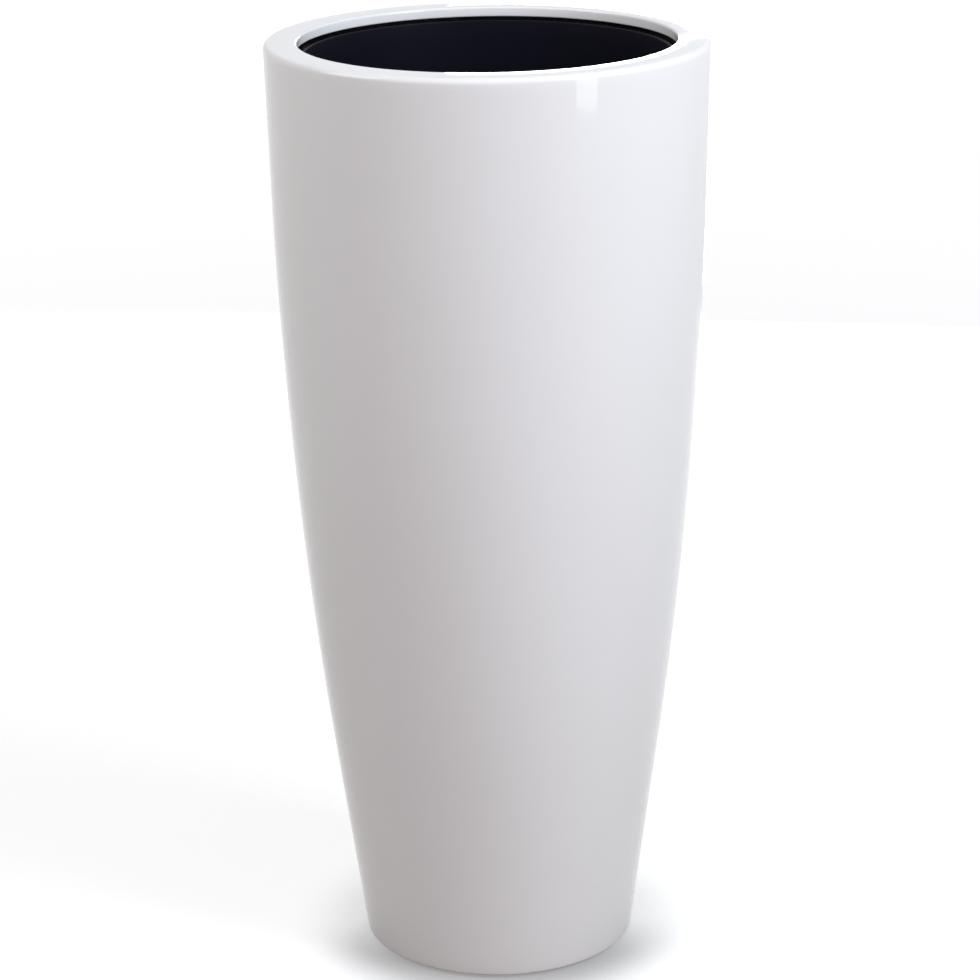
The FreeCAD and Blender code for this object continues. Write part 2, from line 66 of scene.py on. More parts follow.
class Side(Enum):
    """Which of the two handles a piece belongs to, with the way it faces along X."""

    RIGHT = 1
    LEFT = -1

    @property
    def word(self) -> str:
        """The word used in node and body names."""
        return self.name.lower()

    @property
    def turn(self) -> Matrix:
        """Turn about the upright axis that brings a right-hand piece to this side."""
        return Matrix.Rotation(0.0 if self is Side.RIGHT else math.pi, 4, "Z")


class Body(Enum):
    """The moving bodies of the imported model."""

    POT = "pot"
    BUNG = "bung"
    SHELF = "shelf"
    LINER = "liner"


# ---------------------------------------------------------------- outlines

@dataclass(frozen=True)
class Corner:
    """A corner of a turned outline: its radius from the axis, its height, and its rounding."""

    across: float
    up: float
    rounding: float = 0.0

    @property
    def at(self) -> Vector:
        """The sharp corner as a vector."""
        return Vector((self.across, self.up))


def rounded(before: Corner, corner: Corner, after: Corner, steps: int) -> list[Vector]:
    """Points of the arc that rounds one corner.

    Args:
        before: The corner ahead of it on the outline.
        corner: The corner to round.
        after: The corner behind it on the outline.
        steps: How many straight pieces the arc is made of.

    Returns:
        The points in order, or the corner itself where it stays sharp.
    """
    if corner.rounding <= 0:
        return [corner.at]
    towards = (before.at - corner.at).normalized()
    onwards = (after.at - corner.at).normalized()
    half = towards.angle(onwards) / 2
    reach = corner.rounding / math.tan(half)
    centre = corner.at + (towards + onwards).normalized() * corner.rounding / math.sin(half)
    start = corner.at + towards * reach - centre
    sweep = start.angle_signed(corner.at + onwards * reach - centre)
    points = []
    for step in range(steps + 1):
        angle = -sweep * step / steps
        turned = Vector((start.x * math.cos(angle) - start.y * math.sin(angle),
                         start.x * math.sin(angle) + start.y * math.cos(angle)))
        points.append(centre + turned)
    return points


def outline(corners: Sequence[Corner], closed: bool = True, steps: int = 6) -> list[Point]:
    """Outline through corners with each one rounded as it asks.

    Args:
        corners: The corners in order.
        closed: Whether the last corner joins the first.
        steps: Straight pieces in each rounding.

    Returns:
        The points of the outline in order.
    """
    points: list[Vector] = []
    last = len(corners) - 1
    for index, corner in enumerate(corners):
        if not closed and index in (0, last):
            points.append(corner.at)
            continue
        points += rounded(corners[index - 1], corner, corners[(index + 1) % len(corners)], steps)
    return [(point.x, point.y) for point in points]


# ---------------------------------------------------------------- meshes

def as_mesh(name: str, shape: bmesh.types.BMesh) -> bpy.types.Mesh:
    """Mesh made of a bmesh, with its faces turned outwards.

    Args:
        name: The mesh's name.
        shape: The bmesh, which is freed.

    Returns:
        The mesh.
    """
    bmesh.ops.recalc_face_normals(shape, faces=shape.faces)
    mesh = bpy.data.meshes.new(name)
    shape.to_mesh(mesh)
    shape.free()
    return mesh


def merged(shapes: Iterable[bmesh.types.BMesh]) -> bmesh.types.BMesh:
    """One bmesh that holds several.

    Args:
        shapes: The bmeshes, which are freed.

    Returns:
        The whole.
    """
    whole = bmesh.new()
    for shape in shapes:
        spare = as_mesh("spare", shape)
        whole.from_mesh(spare)
        bpy.data.meshes.remove(spare)
    return whole


def shade(mesh: bpy.types.Mesh) -> None:
    """Shades a mesh smooth, with its creases sharp."""
    mesh.shade_smooth()
    mesh.set_sharp_from_angle(angle=CREASE)


def new_object(name: str, shape: bmesh.types.BMesh) -> bpy.types.Object:
    """Object made of a bmesh, shaded smooth up to the crease angle.

    Args:
        name: The piece's name.
        shape: The bmesh, which is freed.

    Returns:
        The new object, linked to the scene.
    """
    mesh = as_mesh(name, shape)
    shade(mesh)
    piece = bpy.data.objects.new(name, mesh)
    bpy.context.scene.collection.objects.link(piece)
    return piece


def skin(shape: bmesh.types.BMesh, pairs: Iterable[tuple[list, list]]) -> None:
    """Covers the space between neighbouring rings of points with faces.

    Args:
        shape: The bmesh that holds the points.
        pairs: The rings two by two, where a ring of one point repeated gives triangles.
    """
    for first, second in pairs:
        for step in range(len(first)):
            beside = (step + 1) % len(first)
            loop = dict.fromkeys((first[step], first[beside], second[beside], second[step]))
            if len(loop) > 2:
                shape.faces.new(list(loop))


def sweep(shape: bmesh.types.BMesh, rings: Sequence[list]) -> None:
    """Covers a row of rings with faces and closes both ends.

    Args:
        shape: The bmesh that holds the points.
        rings: The rings of points, in order.
    """
    skin(shape, zip(rings, rings[1:]))
    shape.faces.new(rings[0])
    shape.faces.new(rings[-1])


def turned(points: Sequence[Point], segments: int, closed: bool = True) -> bmesh.types.BMesh:
    """Solid of revolution about the upright axis.

    Args:
        points: The outline, each a radius and a height.
        segments: How many steps go round.
        closed: Whether the outline closes on itself; otherwise its ends lie on the axis.

    Returns:
        The bmesh.
    """
    shape = bmesh.new()
    angles = [FULL_TURN * step / segments for step in range(segments)]
    rings = []
    for across, up in points:
        if across == 0.0:
            rings.append([shape.verts.new((0.0, 0.0, up))] * segments)
            continue
        rings.append([shape.verts.new((across * math.cos(a), across * math.sin(a), up)) for a in angles])
    skin(shape, zip(rings, rings[1:] + rings[:1] if closed else rings[1:]))
    return shape


def apply_modifiers(piece: bpy.types.Object) -> bpy.types.Object:
    """Turns a piece's modifiers into plain mesh.

    Args:
        piece: The piece with its modifiers.

    Returns:
        The same piece without them.
    """
    graph = bpy.context.evaluated_depsgraph_get()
    graph.update()
    made = bpy.data.meshes.new_from_object(piece.evaluated_get(graph))
    old = piece.data
    piece.modifiers.clear()
    piece.data = made
    bpy.data.meshes.remove(old)
    return piece


def drill(piece: bpy.types.Object, section: Sequence[Point], places: Iterable[Point],
          segments: int = 40) -> None:
    """Drills upright holes through a piece.

    Args:
        piece: The piece to drill.
        section: Outline of the drill, its ends on the axis.
        places: Where the holes go, each an x and a y.
        segments: How many steps go round a hole.
    """
    bits = []
    for x, y in places:
        bit = turned(section, segments, closed=False)
        bmesh.ops.translate(bit, verts=bit.verts, vec=(x, y, 0.0))
        bits.append(bit)
    cutter = new_object("drill_bits", merged(bits))
    cut = piece.modifiers.new("holes", "BOOLEAN")
    cut.operation = "DIFFERENCE"
    cut.solver = "EXACT"
    cut.object = cutter
    apply_modifiers(piece)
    bpy.data.objects.remove(cutter)
    shade(piece.data)


def ring_of(count: int, radius: float) -> list[Point]:
    """Evenly spaced places on a circle, each an x and a y."""
    angles = [FULL_TURN * index / count for index in range(count)]
    return [(radius * math.cos(a), radius * math.sin(a)) for a in angles]


def flat_plate(boundary: Sequence[Point], holes: Sequence[Sequence[Point]],
               depth: float) -> bmesh.types.BMesh:
    """Flat plate with holes, lying on Z = 0 and standing up by its depth.

    Args:
        boundary: The outer outline.
        holes: The outlines of the holes.
        depth: The plate's thickness.

    Returns:
        The bmesh.
    """
    shape = bmesh.new()
    edges = []
    for loop in (boundary, *holes):
        corners = [shape.verts.new((x, y, 0.0)) for x, y in loop]
        edges += [shape.edges.new((a, b)) for a, b in zip(corners, corners[1:] + corners[:1])]
    bmesh.ops.triangle_fill(shape, use_beauty=True, edges=edges)
    lifted = bmesh.ops.extrude_face_region(shape, geom=list(shape.faces))
    tops = [item for item in lifted["geom"] if isinstance(item, bmesh.types.BMVert)]
    bmesh.ops.translate(shape, verts=tops, vec=(0.0, 0.0, depth))
    return shape


def soften(piece: bpy.types.Object, width: float, segments: int = 2) -> bpy.types.Object:
    """Rounds a piece's sharp edges.

    Args:
        piece: The piece.
        width: How wide the rounding is.
        segments: Straight pieces in the rounding.

    Returns:
        The same piece.
    """
    bevel = piece.modifiers.new("soft_edges", "BEVEL")
    bevel.width = width
    bevel.segments = segments
    bevel.limit_method = "ANGLE"
    bevel.angle_limit = CREASE
    return apply_modifiers(piece)


def ruffle(piece: bpy.types.Object, amount: float, scale: float,
           where: Callable[[Vector], float]) -> None:
    """Pushes a surface in and out by smooth noise, as hand-laid or hand-finished work is.

    Args:
        piece: The piece.
        amount: The most that a point moves.
        scale: Waves per metre.
        where: Share of the amount that applies at a point.
    """
    mesh = piece.data
    points = mesh.vertices
    shifts = [(vert.normal * noise.noise(vert.co * scale) * amount * where(vert.co)) for vert in points]
    for vert, shift in zip(points, shifts):
        vert.co += shift
    mesh.update()


def settle(piece: bpy.types.Object, body: str, finishes: Sequence[bpy.types.Material],
           nodes: Sequence[str] = ()) -> None:
    """Dresses a piece and ties it to its body and the nodes that it stands for.

    Args:
        piece: The piece.
        body: The body that it rides on.
        finishes: Its materials, in the order of their slots.
        nodes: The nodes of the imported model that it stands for.
    """
    for finish in finishes:
        piece.data.materials.append(finish)
    if nodes:
        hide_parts(*nodes)
    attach(piece, body)
    log.info("%-18s rides on %-12s stands for %s", piece.name, body, ", ".join(nodes) or "itself")


# ---------------------------------------------------------------- shader building

class Graph:
    """A node tree with short calls to add and join nodes."""

    def __init__(self, tree: bpy.types.NodeTree) -> None:
        """Keeps the node tree to build in."""
        self.tree = tree

    def add(self, kind: str, **settings: object) -> bpy.types.Node:
        """Adds a node.

        Args:
            kind: The node's type name without its ShaderNode prefix.
            **settings: Properties, or inputs by name with spaces as underscores.

        Returns:
            The node.
        """
        node = self.tree.nodes.new(f"ShaderNode{kind}")
        for name, value in settings.items():
            if hasattr(node, name):
                setattr(node, name, value)
            else:
                self.feed(node, name.replace("_", " "), value)
        return node

    def feed(self, node: bpy.types.Node, socket: str | int, value: object) -> None:
        """Sets an input to a value, or joins it to an output.

        Args:
            node: The node.
            socket: The input's name or number.
            value: The value or the output.
        """
        if isinstance(value, bpy.types.NodeSocket):
            self.tree.links.new(value, node.inputs[socket])
        else:
            node.inputs[socket].default_value = value

    def math(self, operation: str, *values: object, clamp: bool = False) -> bpy.types.NodeSocket:
        """Result of a math node.

        Args:
            operation: The node's operation.
            *values: Up to three numbers or outputs.
            clamp: Whether the result stays between 0 and 1.

        Returns:
            The result.
        """
        node = self.add("Math", operation=operation, use_clamp=clamp)
        for index, value in enumerate(values):
            self.feed(node, index, value)
        return node.outputs[0]

    def ramp(self, value: bpy.types.NodeSocket, low: float, high: float,
             start: float = 0.0, end: float = 1.0) -> bpy.types.NodeSocket:
        """Maps one range onto another, smoothly, and holds the ends.

        Args:
            value: The value to map.
            low: Where the first range starts.
            high: Where it ends.
            start: The result at low and below.
            end: The result at high and above.

        Returns:
            The result.
        """
        node = self.add("MapRange", interpolation_type="SMOOTHSTEP", Value=value)
        self.feed(node, "From Min", low)
        self.feed(node, "From Max", high)
        self.feed(node, "To Min", start)
        self.feed(node, "To Max", end)
        return node.outputs[0]

    def blend(self, factor: object, first: object, second: object) -> bpy.types.NodeSocket:
        """Colour between two colours.

        Args:
            factor: The share of the second colour.
            first: A colour or an output.
            second: A colour or an output.

        Returns:
            The mixed colour.
        """
        node = self.add("Mix", data_type="RGBA")
        for index, value in ((0, factor), (6, first), (7, second)):
            if isinstance(value, tuple) and len(value) == 3:
                value = (*value, 1.0)
            self.feed(node, index, value)
        return node.outputs[2]

    def noise(self, vector: object, scale: object, detail: float = 3.0,
              roughness: float = 0.5) -> bpy.types.NodeSocket:
        """Value of a noise texture.

        Args:
            vector: The place.
            scale: The texture's scale.
            detail: How many finer layers it has.
            roughness: How strong the finer layers are.

        Returns:
            The value.
        """
        node = self.add("TexNoise", Detail=detail, Roughness=roughness)
        self.feed(node, "Vector", vector)
        self.feed(node, "Scale", scale)
        return node.outputs[0]

    def by_ray(self, bounced: bpy.types.NodeSocket, seen: bpy.types.NodeSocket) -> bpy.types.NodeSocket:
        """One shader for light that bounces and one for what is looked at, mirrored or seen through.

        Args:
            bounced: The shader for light on its way round the scene.
            seen: The shader for camera, glossy and transmission rays.

        Returns:
            The mixed shader.
        """
        path = self.add("LightPath")
        direct = self.math("MAXIMUM", path.outputs["Is Camera Ray"], path.outputs["Is Glossy Ray"])
        direct = self.math("MAXIMUM", direct, path.outputs["Is Transmission Ray"])
        choice = self.add("MixShader")
        for index, value in enumerate((direct, bounced, seen)):
            self.feed(choice, index, value)
        return choice.outputs[0]


class Effect(Enum):
    """The shared surface effects, each a node group built once."""

    MOTTLE = "mottle"
    RIPPLE = "ripple"
    SCRATCHES = "fine_scratches"
    DUST = "settled_dust"
    STRANDS = "glass_strands"
    EDGES = "worn_edges"
    PEBBLE = "pebble_grain"


GROUP_FLOATS = {
    Effect.MOTTLE: (("Scale", 6.0), ("Strength", 1.0)),
    Effect.RIPPLE: (("Scale", 90.0), ("Depth", 1.0)),
    Effect.SCRATCHES: (("Scale", 60.0), ("Amount", 0.3)),
    Effect.DUST: (("Scale", 40.0), ("Amount", 0.3)),
    Effect.STRANDS: (("Scale", 30.0),),
    Effect.EDGES: (("Width", 0.001), ("Amount", 1.0)),
    Effect.PEBBLE: (("Scale", 900.0), ("Depth", 1.0)),
}
GROUP_RESULTS = {
    Effect.MOTTLE: ("Value",),
    Effect.RIPPLE: ("Height",),
    Effect.SCRATCHES: ("Mask", "Height"),
    Effect.DUST: ("Mask",),
    Effect.STRANDS: ("Mask", "Height"),
    Effect.EDGES: ("Mask",),
    Effect.PEBBLE: ("Height",),
}


class EffectLibrary:
    """Builds each shared effect once and hands out its node group."""

    def __init__(self) -> None:
        """Starts with nothing built."""
        self._built: dict[Effect, bpy.types.NodeTree] = {}

    def group(self, effect: Effect) -> bpy.types.NodeTree:
        """The node group of an effect, built on first use.

        Args:
            effect: The effect.

        Returns:
            Its node group.
        """
        if effect not in self._built:
            self._built[effect] = self._build(effect)
        return self._built[effect]

    def _build(self, effect: Effect) -> bpy.types.NodeTree:
        """Makes a group's sockets and its inside.

        Args:
            effect: The effect.

        Returns:
            Its new node group.
        """
        tree = bpy.data.node_groups.new(effect.value, "ShaderNodeTree")
        tree.interface.new_socket("Vector", in_out="INPUT", socket_type="NodeSocketVector")
        for name, value in GROUP_FLOATS[effect]:
            socket = tree.interface.new_socket(name, in_out="INPUT", socket_type="NodeSocketFloat")
            socket.default_value = value
        for name in GROUP_RESULTS[effect]:
            tree.interface.new_socket(name, in_out="OUTPUT", socket_type="NodeSocketFloat")
        start = tree.nodes.new("NodeGroupInput")
        finish = tree.nodes.new("NodeGroupOutput")
        results = getattr(self, f"_{effect.name.lower()}")(Graph(tree), start.outputs)
        for name, value in zip(GROUP_RESULTS[effect], results):
            tree.links.new(value, finish.inputs[name])
        return tree

    def _mottle(self, graph: Graph, given: Sockets) -> tuple:
        """Soft large patches over smaller ones, around one half.

        Args:
            graph: The group's graph.
            given: The group's inputs.

        Returns:
            The value.
        """
        broad = graph.noise(given["Vector"], given["Scale"], 2.0)
        fine = graph.noise(given["Vector"], graph.math("MULTIPLY", given["Scale"], 7.3), 3.0)
        both = graph.math("MULTIPLY_ADD", fine, 0.35, graph.math("MULTIPLY", broad, 0.65))
        centred = graph.math("SUBTRACT", both, 0.5)
        return (graph.math("MULTIPLY_ADD", centred, given["Strength"], 0.5, clamp=True),)

    def _ripple(self, graph: Graph, given: Sockets) -> tuple:
        """The slight waviness of a sprayed or moulded gloss surface.

        Args:
            graph: The group's graph.
            given: The group's inputs.

        Returns:
            The height.
        """
        waves = graph.noise(given["Vector"], given["Scale"], 1.0)
        peel = graph.noise(given["Vector"], graph.math("MULTIPLY", given["Scale"], 9.0), 1.0)
        both = graph.math("MULTIPLY_ADD", peel, 0.2, waves)
        return (graph.math("MULTIPLY", both, given["Depth"]),)

    def _scratches(self, graph: Graph, given: Sockets) -> tuple:
        """Hairline marks in three directions, broken up by patches.

        Args:
            graph: The group's graph.
            given: The group's inputs.

        Returns:
            The mask and the height.
        """
        total = None
        for index, (angle, stretch) in enumerate(((0.4, 26.0), (1.5, 34.0), (-0.7, 20.0))):
            turned_place = graph.add("Mapping", vector_type="TEXTURE", Vector=given["Vector"])
            turned_place.inputs["Rotation"].default_value = (angle, angle * 0.6, angle * 1.7)
            turned_place.inputs["Scale"].default_value = (1.0, 1.0 / stretch, 1.4 / stretch)
            lines = graph.noise(turned_place.outputs[0], given["Scale"], 2.0, 0.6)
            thin = graph.ramp(lines, 0.66, 0.72)
            patch = graph.ramp(graph.noise(given["Vector"], 9.0 + 4.0 * index, 1.0), 0.45, 0.65)
            marks = graph.math("MULTIPLY", thin, patch)
            total = marks if total is None else graph.math("MAXIMUM", total, marks)
        mask = graph.math("MULTIPLY", total, given["Amount"], clamp=True)
        return (mask, graph.math("MULTIPLY", mask, -1.0))

    def _dust(self, graph: Graph, given: Sockets) -> tuple:
        """Dust that lies on what faces up, in uneven patches.

        Args:
            graph: The group's graph.
            given: The group's inputs.

        Returns:
            The mask.
        """
        facing = graph.add("SeparateXYZ", Vector=graph.add("NewGeometry").outputs["Normal"])
        upward = graph.ramp(facing.outputs["Z"], 0.2, 0.95)
        patches = graph.ramp(graph.noise(given["Vector"], given["Scale"], 5.0, 0.65), 0.35, 0.75)
        both = graph.math("MULTIPLY", upward, patches)
        return (graph.math("MULTIPLY", both, given["Amount"], clamp=True),)

    def _strands(self, graph: Graph, given: Sockets) -> tuple:
        """Chopped strands of glass lying every way in clear resin.

        Args:
            graph: The group's graph.
            given: The group's inputs.

        Returns:
            The mask and the height.
        """
        total = None
        turns = ((0.0, 0.3, 0.0), (0.9, 0.2, 0.7), (1.9, 1.1, 0.2), (-0.8, 0.5, 1.9), (0.4, 2.2, 1.0))
        for index, turn in enumerate(turns):
            place = graph.add("Mapping", vector_type="TEXTURE", Vector=given["Vector"])
            place.inputs["Rotation"].default_value = turn
            place.inputs["Scale"].default_value = (1.0, 1.0 / 11.0, 1.0 / 11.0)
            place.inputs["Location"].default_value = (0.31 * index, 0.17 * index, 0.0)
            threads = graph.noise(place.outputs[0], given["Scale"], 2.0, 0.55)
            bundle = graph.ramp(threads, 0.56, 0.64)
            total = bundle if total is None else graph.math("MAXIMUM", total, bundle)
        pools = graph.noise(given["Vector"], graph.math("MULTIPLY", given["Scale"], 0.5), 2.0)
        return (total, graph.math("MULTIPLY_ADD", pools, 1.5, graph.math("MULTIPLY", total, 0.5)))

    def _edges(self, graph: Graph, given: Sockets) -> tuple:
        """Where the surface turns sharply within a width, broken up a little.

        Args:
            graph: The group's graph.
            given: The group's inputs.

        Returns:
            The mask.
        """
        true_normal = graph.add("NewGeometry").outputs["Normal"]
        bevelled = graph.add("Bevel", samples=6)
        graph.feed(bevelled, "Radius", given["Width"])
        meeting = graph.add("VectorMath", operation="DOT_PRODUCT")
        graph.feed(meeting, 0, true_normal)
        graph.feed(meeting, 1, bevelled.outputs[0])
        turning = graph.ramp(meeting.outputs["Value"], 0.995, 0.90)
        chipped = graph.ramp(graph.noise(given["Vector"], 260.0, 4.0, 0.6), 0.38, 0.62)
        worn = graph.math("MULTIPLY", turning, chipped)
        return (graph.math("MULTIPLY", worn, given["Amount"], clamp=True),)

    def _pebble(self, graph: Graph, given: Sockets) -> tuple:
        """The close leathery grain of a moulded or rolled plastic.

        Args:
            graph: The group's graph.
            given: The group's inputs.

        Returns:
            The height.
        """
        cells = graph.add("TexVoronoi", feature="SMOOTH_F1")
        graph.feed(cells, "Vector", given["Vector"])
        graph.feed(cells, "Scale", given["Scale"])
        uneven = graph.noise(given["Vector"], given["Scale"], 2.0)
        both = graph.math("MULTIPLY_ADD", uneven, 0.4, cells.outputs["Distance"])
        return (graph.math("MULTIPLY", both, given["Depth"]),)


EFFECTS = EffectLibrary()


class SurfaceGraph(Graph):
    """The graph of one material, with its Principled shader and shared effects."""

    def __init__(self, name: str) -> None:
        """Starts a material.

        Args:
            name: The material's name.
        """
        self.material = bpy.data.materials.new(name)
        self.material.use_nodes = True
        super().__init__(self.material.node_tree)
        self.shader = self.tree.nodes["Principled BSDF"]
        self.place = self.add("TexCoord").outputs["Object"]

    def effect(self, effect: Effect, **values: float) -> Sockets:
        """Places a shared effect.

        Args:
            effect: The effect.
            **values: This material's own values for the effect's inputs.

        Returns:
            The effect's outputs.
        """
        node = self.tree.nodes.new("ShaderNodeGroup")
        node.node_tree = EFFECTS.group(effect)
        self.feed(node, "Vector", self.place)
        for name, value in values.items():
            self.feed(node, name, value)
        return node.outputs

    def bump(self, height: bpy.types.NodeSocket, distance: float, strength: float = 1.0,
             under: bpy.types.NodeSocket | None = None) -> bpy.types.NodeSocket:
        """Normal of a bump.

        Args:
            height: The height.
            distance: How far a height of 1 stands proud.
            strength: How strongly the bump shows.
            under: The normal of a bump that this one lies on.

        Returns:
            The normal.
        """
        node = self.add("Bump", Strength=strength, Distance=distance)
        self.feed(node, "Height", height)
        if under is not None:
            self.feed(node, "Normal", under)
        return node.outputs[0]

    def finish(self, colour: object, roughness: object, normal: object = None,
               **settings: float) -> bpy.types.Material:
        """Joins the surface up.

        Args:
            colour: The base colour.
            roughness: The roughness.
            normal: The normal, if bumped.
            **settings: Plain values for the shader's own sockets, spaces as underscores.

        Returns:
            The material.
        """
        self.feed(self.shader, "Base Color", (*colour, 1.0) if isinstance(colour, tuple) else colour)
        self.feed(self.shader, "Roughness", roughness)
        if normal is not None:
            self.feed(self.shader, "Normal", normal)
        for name, value in settings.items():
            self.feed(self.shader, name.replace("_", " "), value)
        return self.material


# ---------------------------------------------------------------- finishes

def toned(colour: Colour, share: float) -> Colour:
    """A colour made darker or lighter by a share."""
    return tuple(share * part for part in colour)


@dataclass(frozen=True)
class Gelcoat:
    """Polished white gelcoat: a deep gloss over the faintest waviness."""

    name: str = "white_gelcoat"
    colour: Colour = (0.835, 0.835, 0.825)
    shade: Colour = (0.80, 0.80, 0.785)
    dust: Colour = (0.62, 0.60, 0.57)
    worn: Colour = (0.86, 0.86, 0.85)
    roughness: float = 0.035
    hazed: float = 0.13
    wave_depth: float = 0.00004
    scratch_depth: float = 0.000004
    gloss: float = 0.36

    def build(self) -> bpy.types.Material:
        """Builds the material.

        Returns:
            The material.
        """
        graph = SurfaceGraph(self.name)
        mottle = graph.effect(Effect.MOTTLE, Scale=5.0, Strength=1.6)["Value"]
        scratches = graph.effect(Effect.SCRATCHES, Scale=70.0, Amount=0.35)
        dust = graph.effect(Effect.DUST, Scale=55.0, Amount=0.10)["Mask"]
        worn = graph.effect(Effect.EDGES, Width=0.0012, Amount=0.25)["Mask"]
        colour = graph.blend(mottle, self.colour, self.shade)
        colour = graph.blend(dust, colour, self.dust)
        colour = graph.blend(worn, colour, self.worn)
        haze = graph.math("MAXIMUM", scratches["Mask"], graph.math("MAXIMUM", dust, worn))
        haze = graph.math("MULTIPLY_ADD", mottle, 0.12, haze, clamp=True)
        roughness = graph.ramp(haze, 0.0, 1.0, self.roughness, self.hazed)
        waves = graph.bump(graph.effect(Effect.RIPPLE, Scale=38.0, Depth=1.0)["Height"], self.wave_depth)
        normal = graph.bump(scratches["Height"], self.scratch_depth, under=waves)
        return graph.finish(colour, roughness, normal, Specular_IOR_Level=self.gloss)


@dataclass(frozen=True)
class RawLaminate:
    """The unpolished back of the laminate: chopped glass strands under wet resin.

    With a topcoat height, a brushed black coat covers it from a wavering line up.
    """

    name: str = "raw_laminate"
    resin: Colour = (0.53, 0.53, 0.46)
    glass: Colour = (0.70, 0.71, 0.66)
    dust: Colour = (0.50, 0.47, 0.42)
    strand_scale: float = 26.0
    strand_depth: float = 0.0007
    topcoat: Colour = (0.012, 0.012, 0.014)
    topcoat_from: float | None = None
    brush_waver: float = 0.03
    brush_line: tuple[float, float] = (0.013, 0.017)

    def build(self) -> bpy.types.Material:
        """Builds the material.

        Returns:
            The material.
        """
        graph = SurfaceGraph(self.name)
        strands = graph.effect(Effect.STRANDS, Scale=self.strand_scale)
        mottle = graph.effect(Effect.MOTTLE, Scale=14.0, Strength=2.2)["Value"]
        dust = graph.effect(Effect.DUST, Scale=60.0, Amount=0.4)["Mask"]
        resin = graph.blend(mottle, self.resin, toned(self.resin, 0.82))
        colour = graph.blend(graph.math("MULTIPLY", strands["Mask"], 0.6), resin, self.glass)
        colour = graph.blend(dust, colour, self.dust)
        roughness = graph.ramp(strands["Mask"], 0.0, 1.0, 0.26, 0.48)
        normal = graph.bump(strands["Height"], self.strand_depth)
        if self.topcoat_from is not None:
            up = graph.add("SeparateXYZ", Vector=graph.place).outputs["Z"]
            waver = graph.noise(graph.place, 30.0, 4.0, 0.6)
            brushed = graph.math("MULTIPLY_ADD", waver, self.brush_waver, up)
            painted = graph.ramp(brushed, *(self.topcoat_from + line for line in self.brush_line))
            coat = graph.blend(mottle, self.topcoat, toned(self.topcoat, 1.8))
            colour = graph.blend(painted, colour, coat)
            roughness = graph.math("MULTIPLY_ADD", painted, 0.12, roughness, clamp=True)
        return graph.finish(colour, roughness, normal)


@dataclass(frozen=True)
class MouldedPlastic:
    """Satin plastic with a fine grain, a little dust and rubbed edges."""

    name: str
    colour: Colour
    rubbed: Colour = (0.075, 0.077, 0.085)
    dusty: Colour = (0.20, 0.18, 0.155)
    roughness: float = 0.42
    polished: float = 0.34
    grain_scale: float = 1400.0
    grain_depth: float = 0.00003
    scratch_depth: float = 0.00001
    dust: float = 0.12
    edge_wear: float = 0.45
    edge_width: float = 0.0012
    gloss: float = 0.5

    def build(self) -> bpy.types.Material:
        """Builds the material.

        Returns:
            The material.
        """
        graph = SurfaceGraph(self.name)
        mottle = graph.effect(Effect.MOTTLE, Scale=9.0, Strength=1.8)["Value"]
        scratches = graph.effect(Effect.SCRATCHES, Scale=55.0, Amount=0.5)
        dust = graph.effect(Effect.DUST, Scale=48.0, Amount=self.dust)["Mask"]
        edges = graph.effect(Effect.EDGES, Width=self.edge_width, Amount=self.edge_wear)["Mask"]
        colour = graph.blend(mottle, self.colour, toned(self.colour, 0.75))
        colour = graph.blend(graph.math("MULTIPLY", scratches["Mask"], 0.3), colour, self.rubbed)
        colour = graph.blend(edges, colour, self.rubbed)
        colour = graph.blend(dust, colour, self.dusty)
        shine = graph.math("MAXIMUM", mottle, dust)
        roughness = graph.ramp(shine, 0.3, 0.9, self.polished, self.roughness)
        grain = graph.effect(Effect.PEBBLE, Scale=self.grain_scale, Depth=1.0)["Height"]
        under = graph.bump(grain, self.grain_depth)
        normal = graph.bump(scratches["Height"], self.scratch_depth, under=under)
        return graph.finish(colour, roughness, normal, Specular_IOR_Level=self.gloss)


@dataclass(frozen=True)
class SoftRubber:
    """Matte black rubber with a chalky bloom."""

    name: str
    colour: Colour = (0.022, 0.022, 0.022)
    bloom: Colour = (0.085, 0.083, 0.08)
    grain_scale: float = 1800.0
    grain_depth: float = 0.00005

    def build(self) -> bpy.types.Material:
        """Builds the material.

        Returns:
            The material.
        """
        graph = SurfaceGraph(self.name)
        mottle = graph.effect(Effect.MOTTLE, Scale=60.0, Strength=2.4)["Value"]
        dust = graph.effect(Effect.DUST, Scale=90.0, Amount=0.35)["Mask"]
        edges = graph.effect(Effect.EDGES, Width=0.001, Amount=0.5)["Mask"]
        bloom = graph.math("MAXIMUM", dust, graph.math("MULTIPLY", edges, 0.6))
        colour = graph.blend(graph.ramp(mottle, 0.4, 0.9, 0.0, 0.35), self.colour, self.bloom)
        colour = graph.blend(bloom, colour, self.bloom)
        roughness = graph.ramp(mottle, 0.2, 0.8, 0.62, 0.80)
        grain = graph.effect(Effect.PEBBLE, Scale=self.grain_scale, Depth=1.0)["Height"]
        return graph.finish(colour, roughness, graph.bump(grain, self.grain_depth))


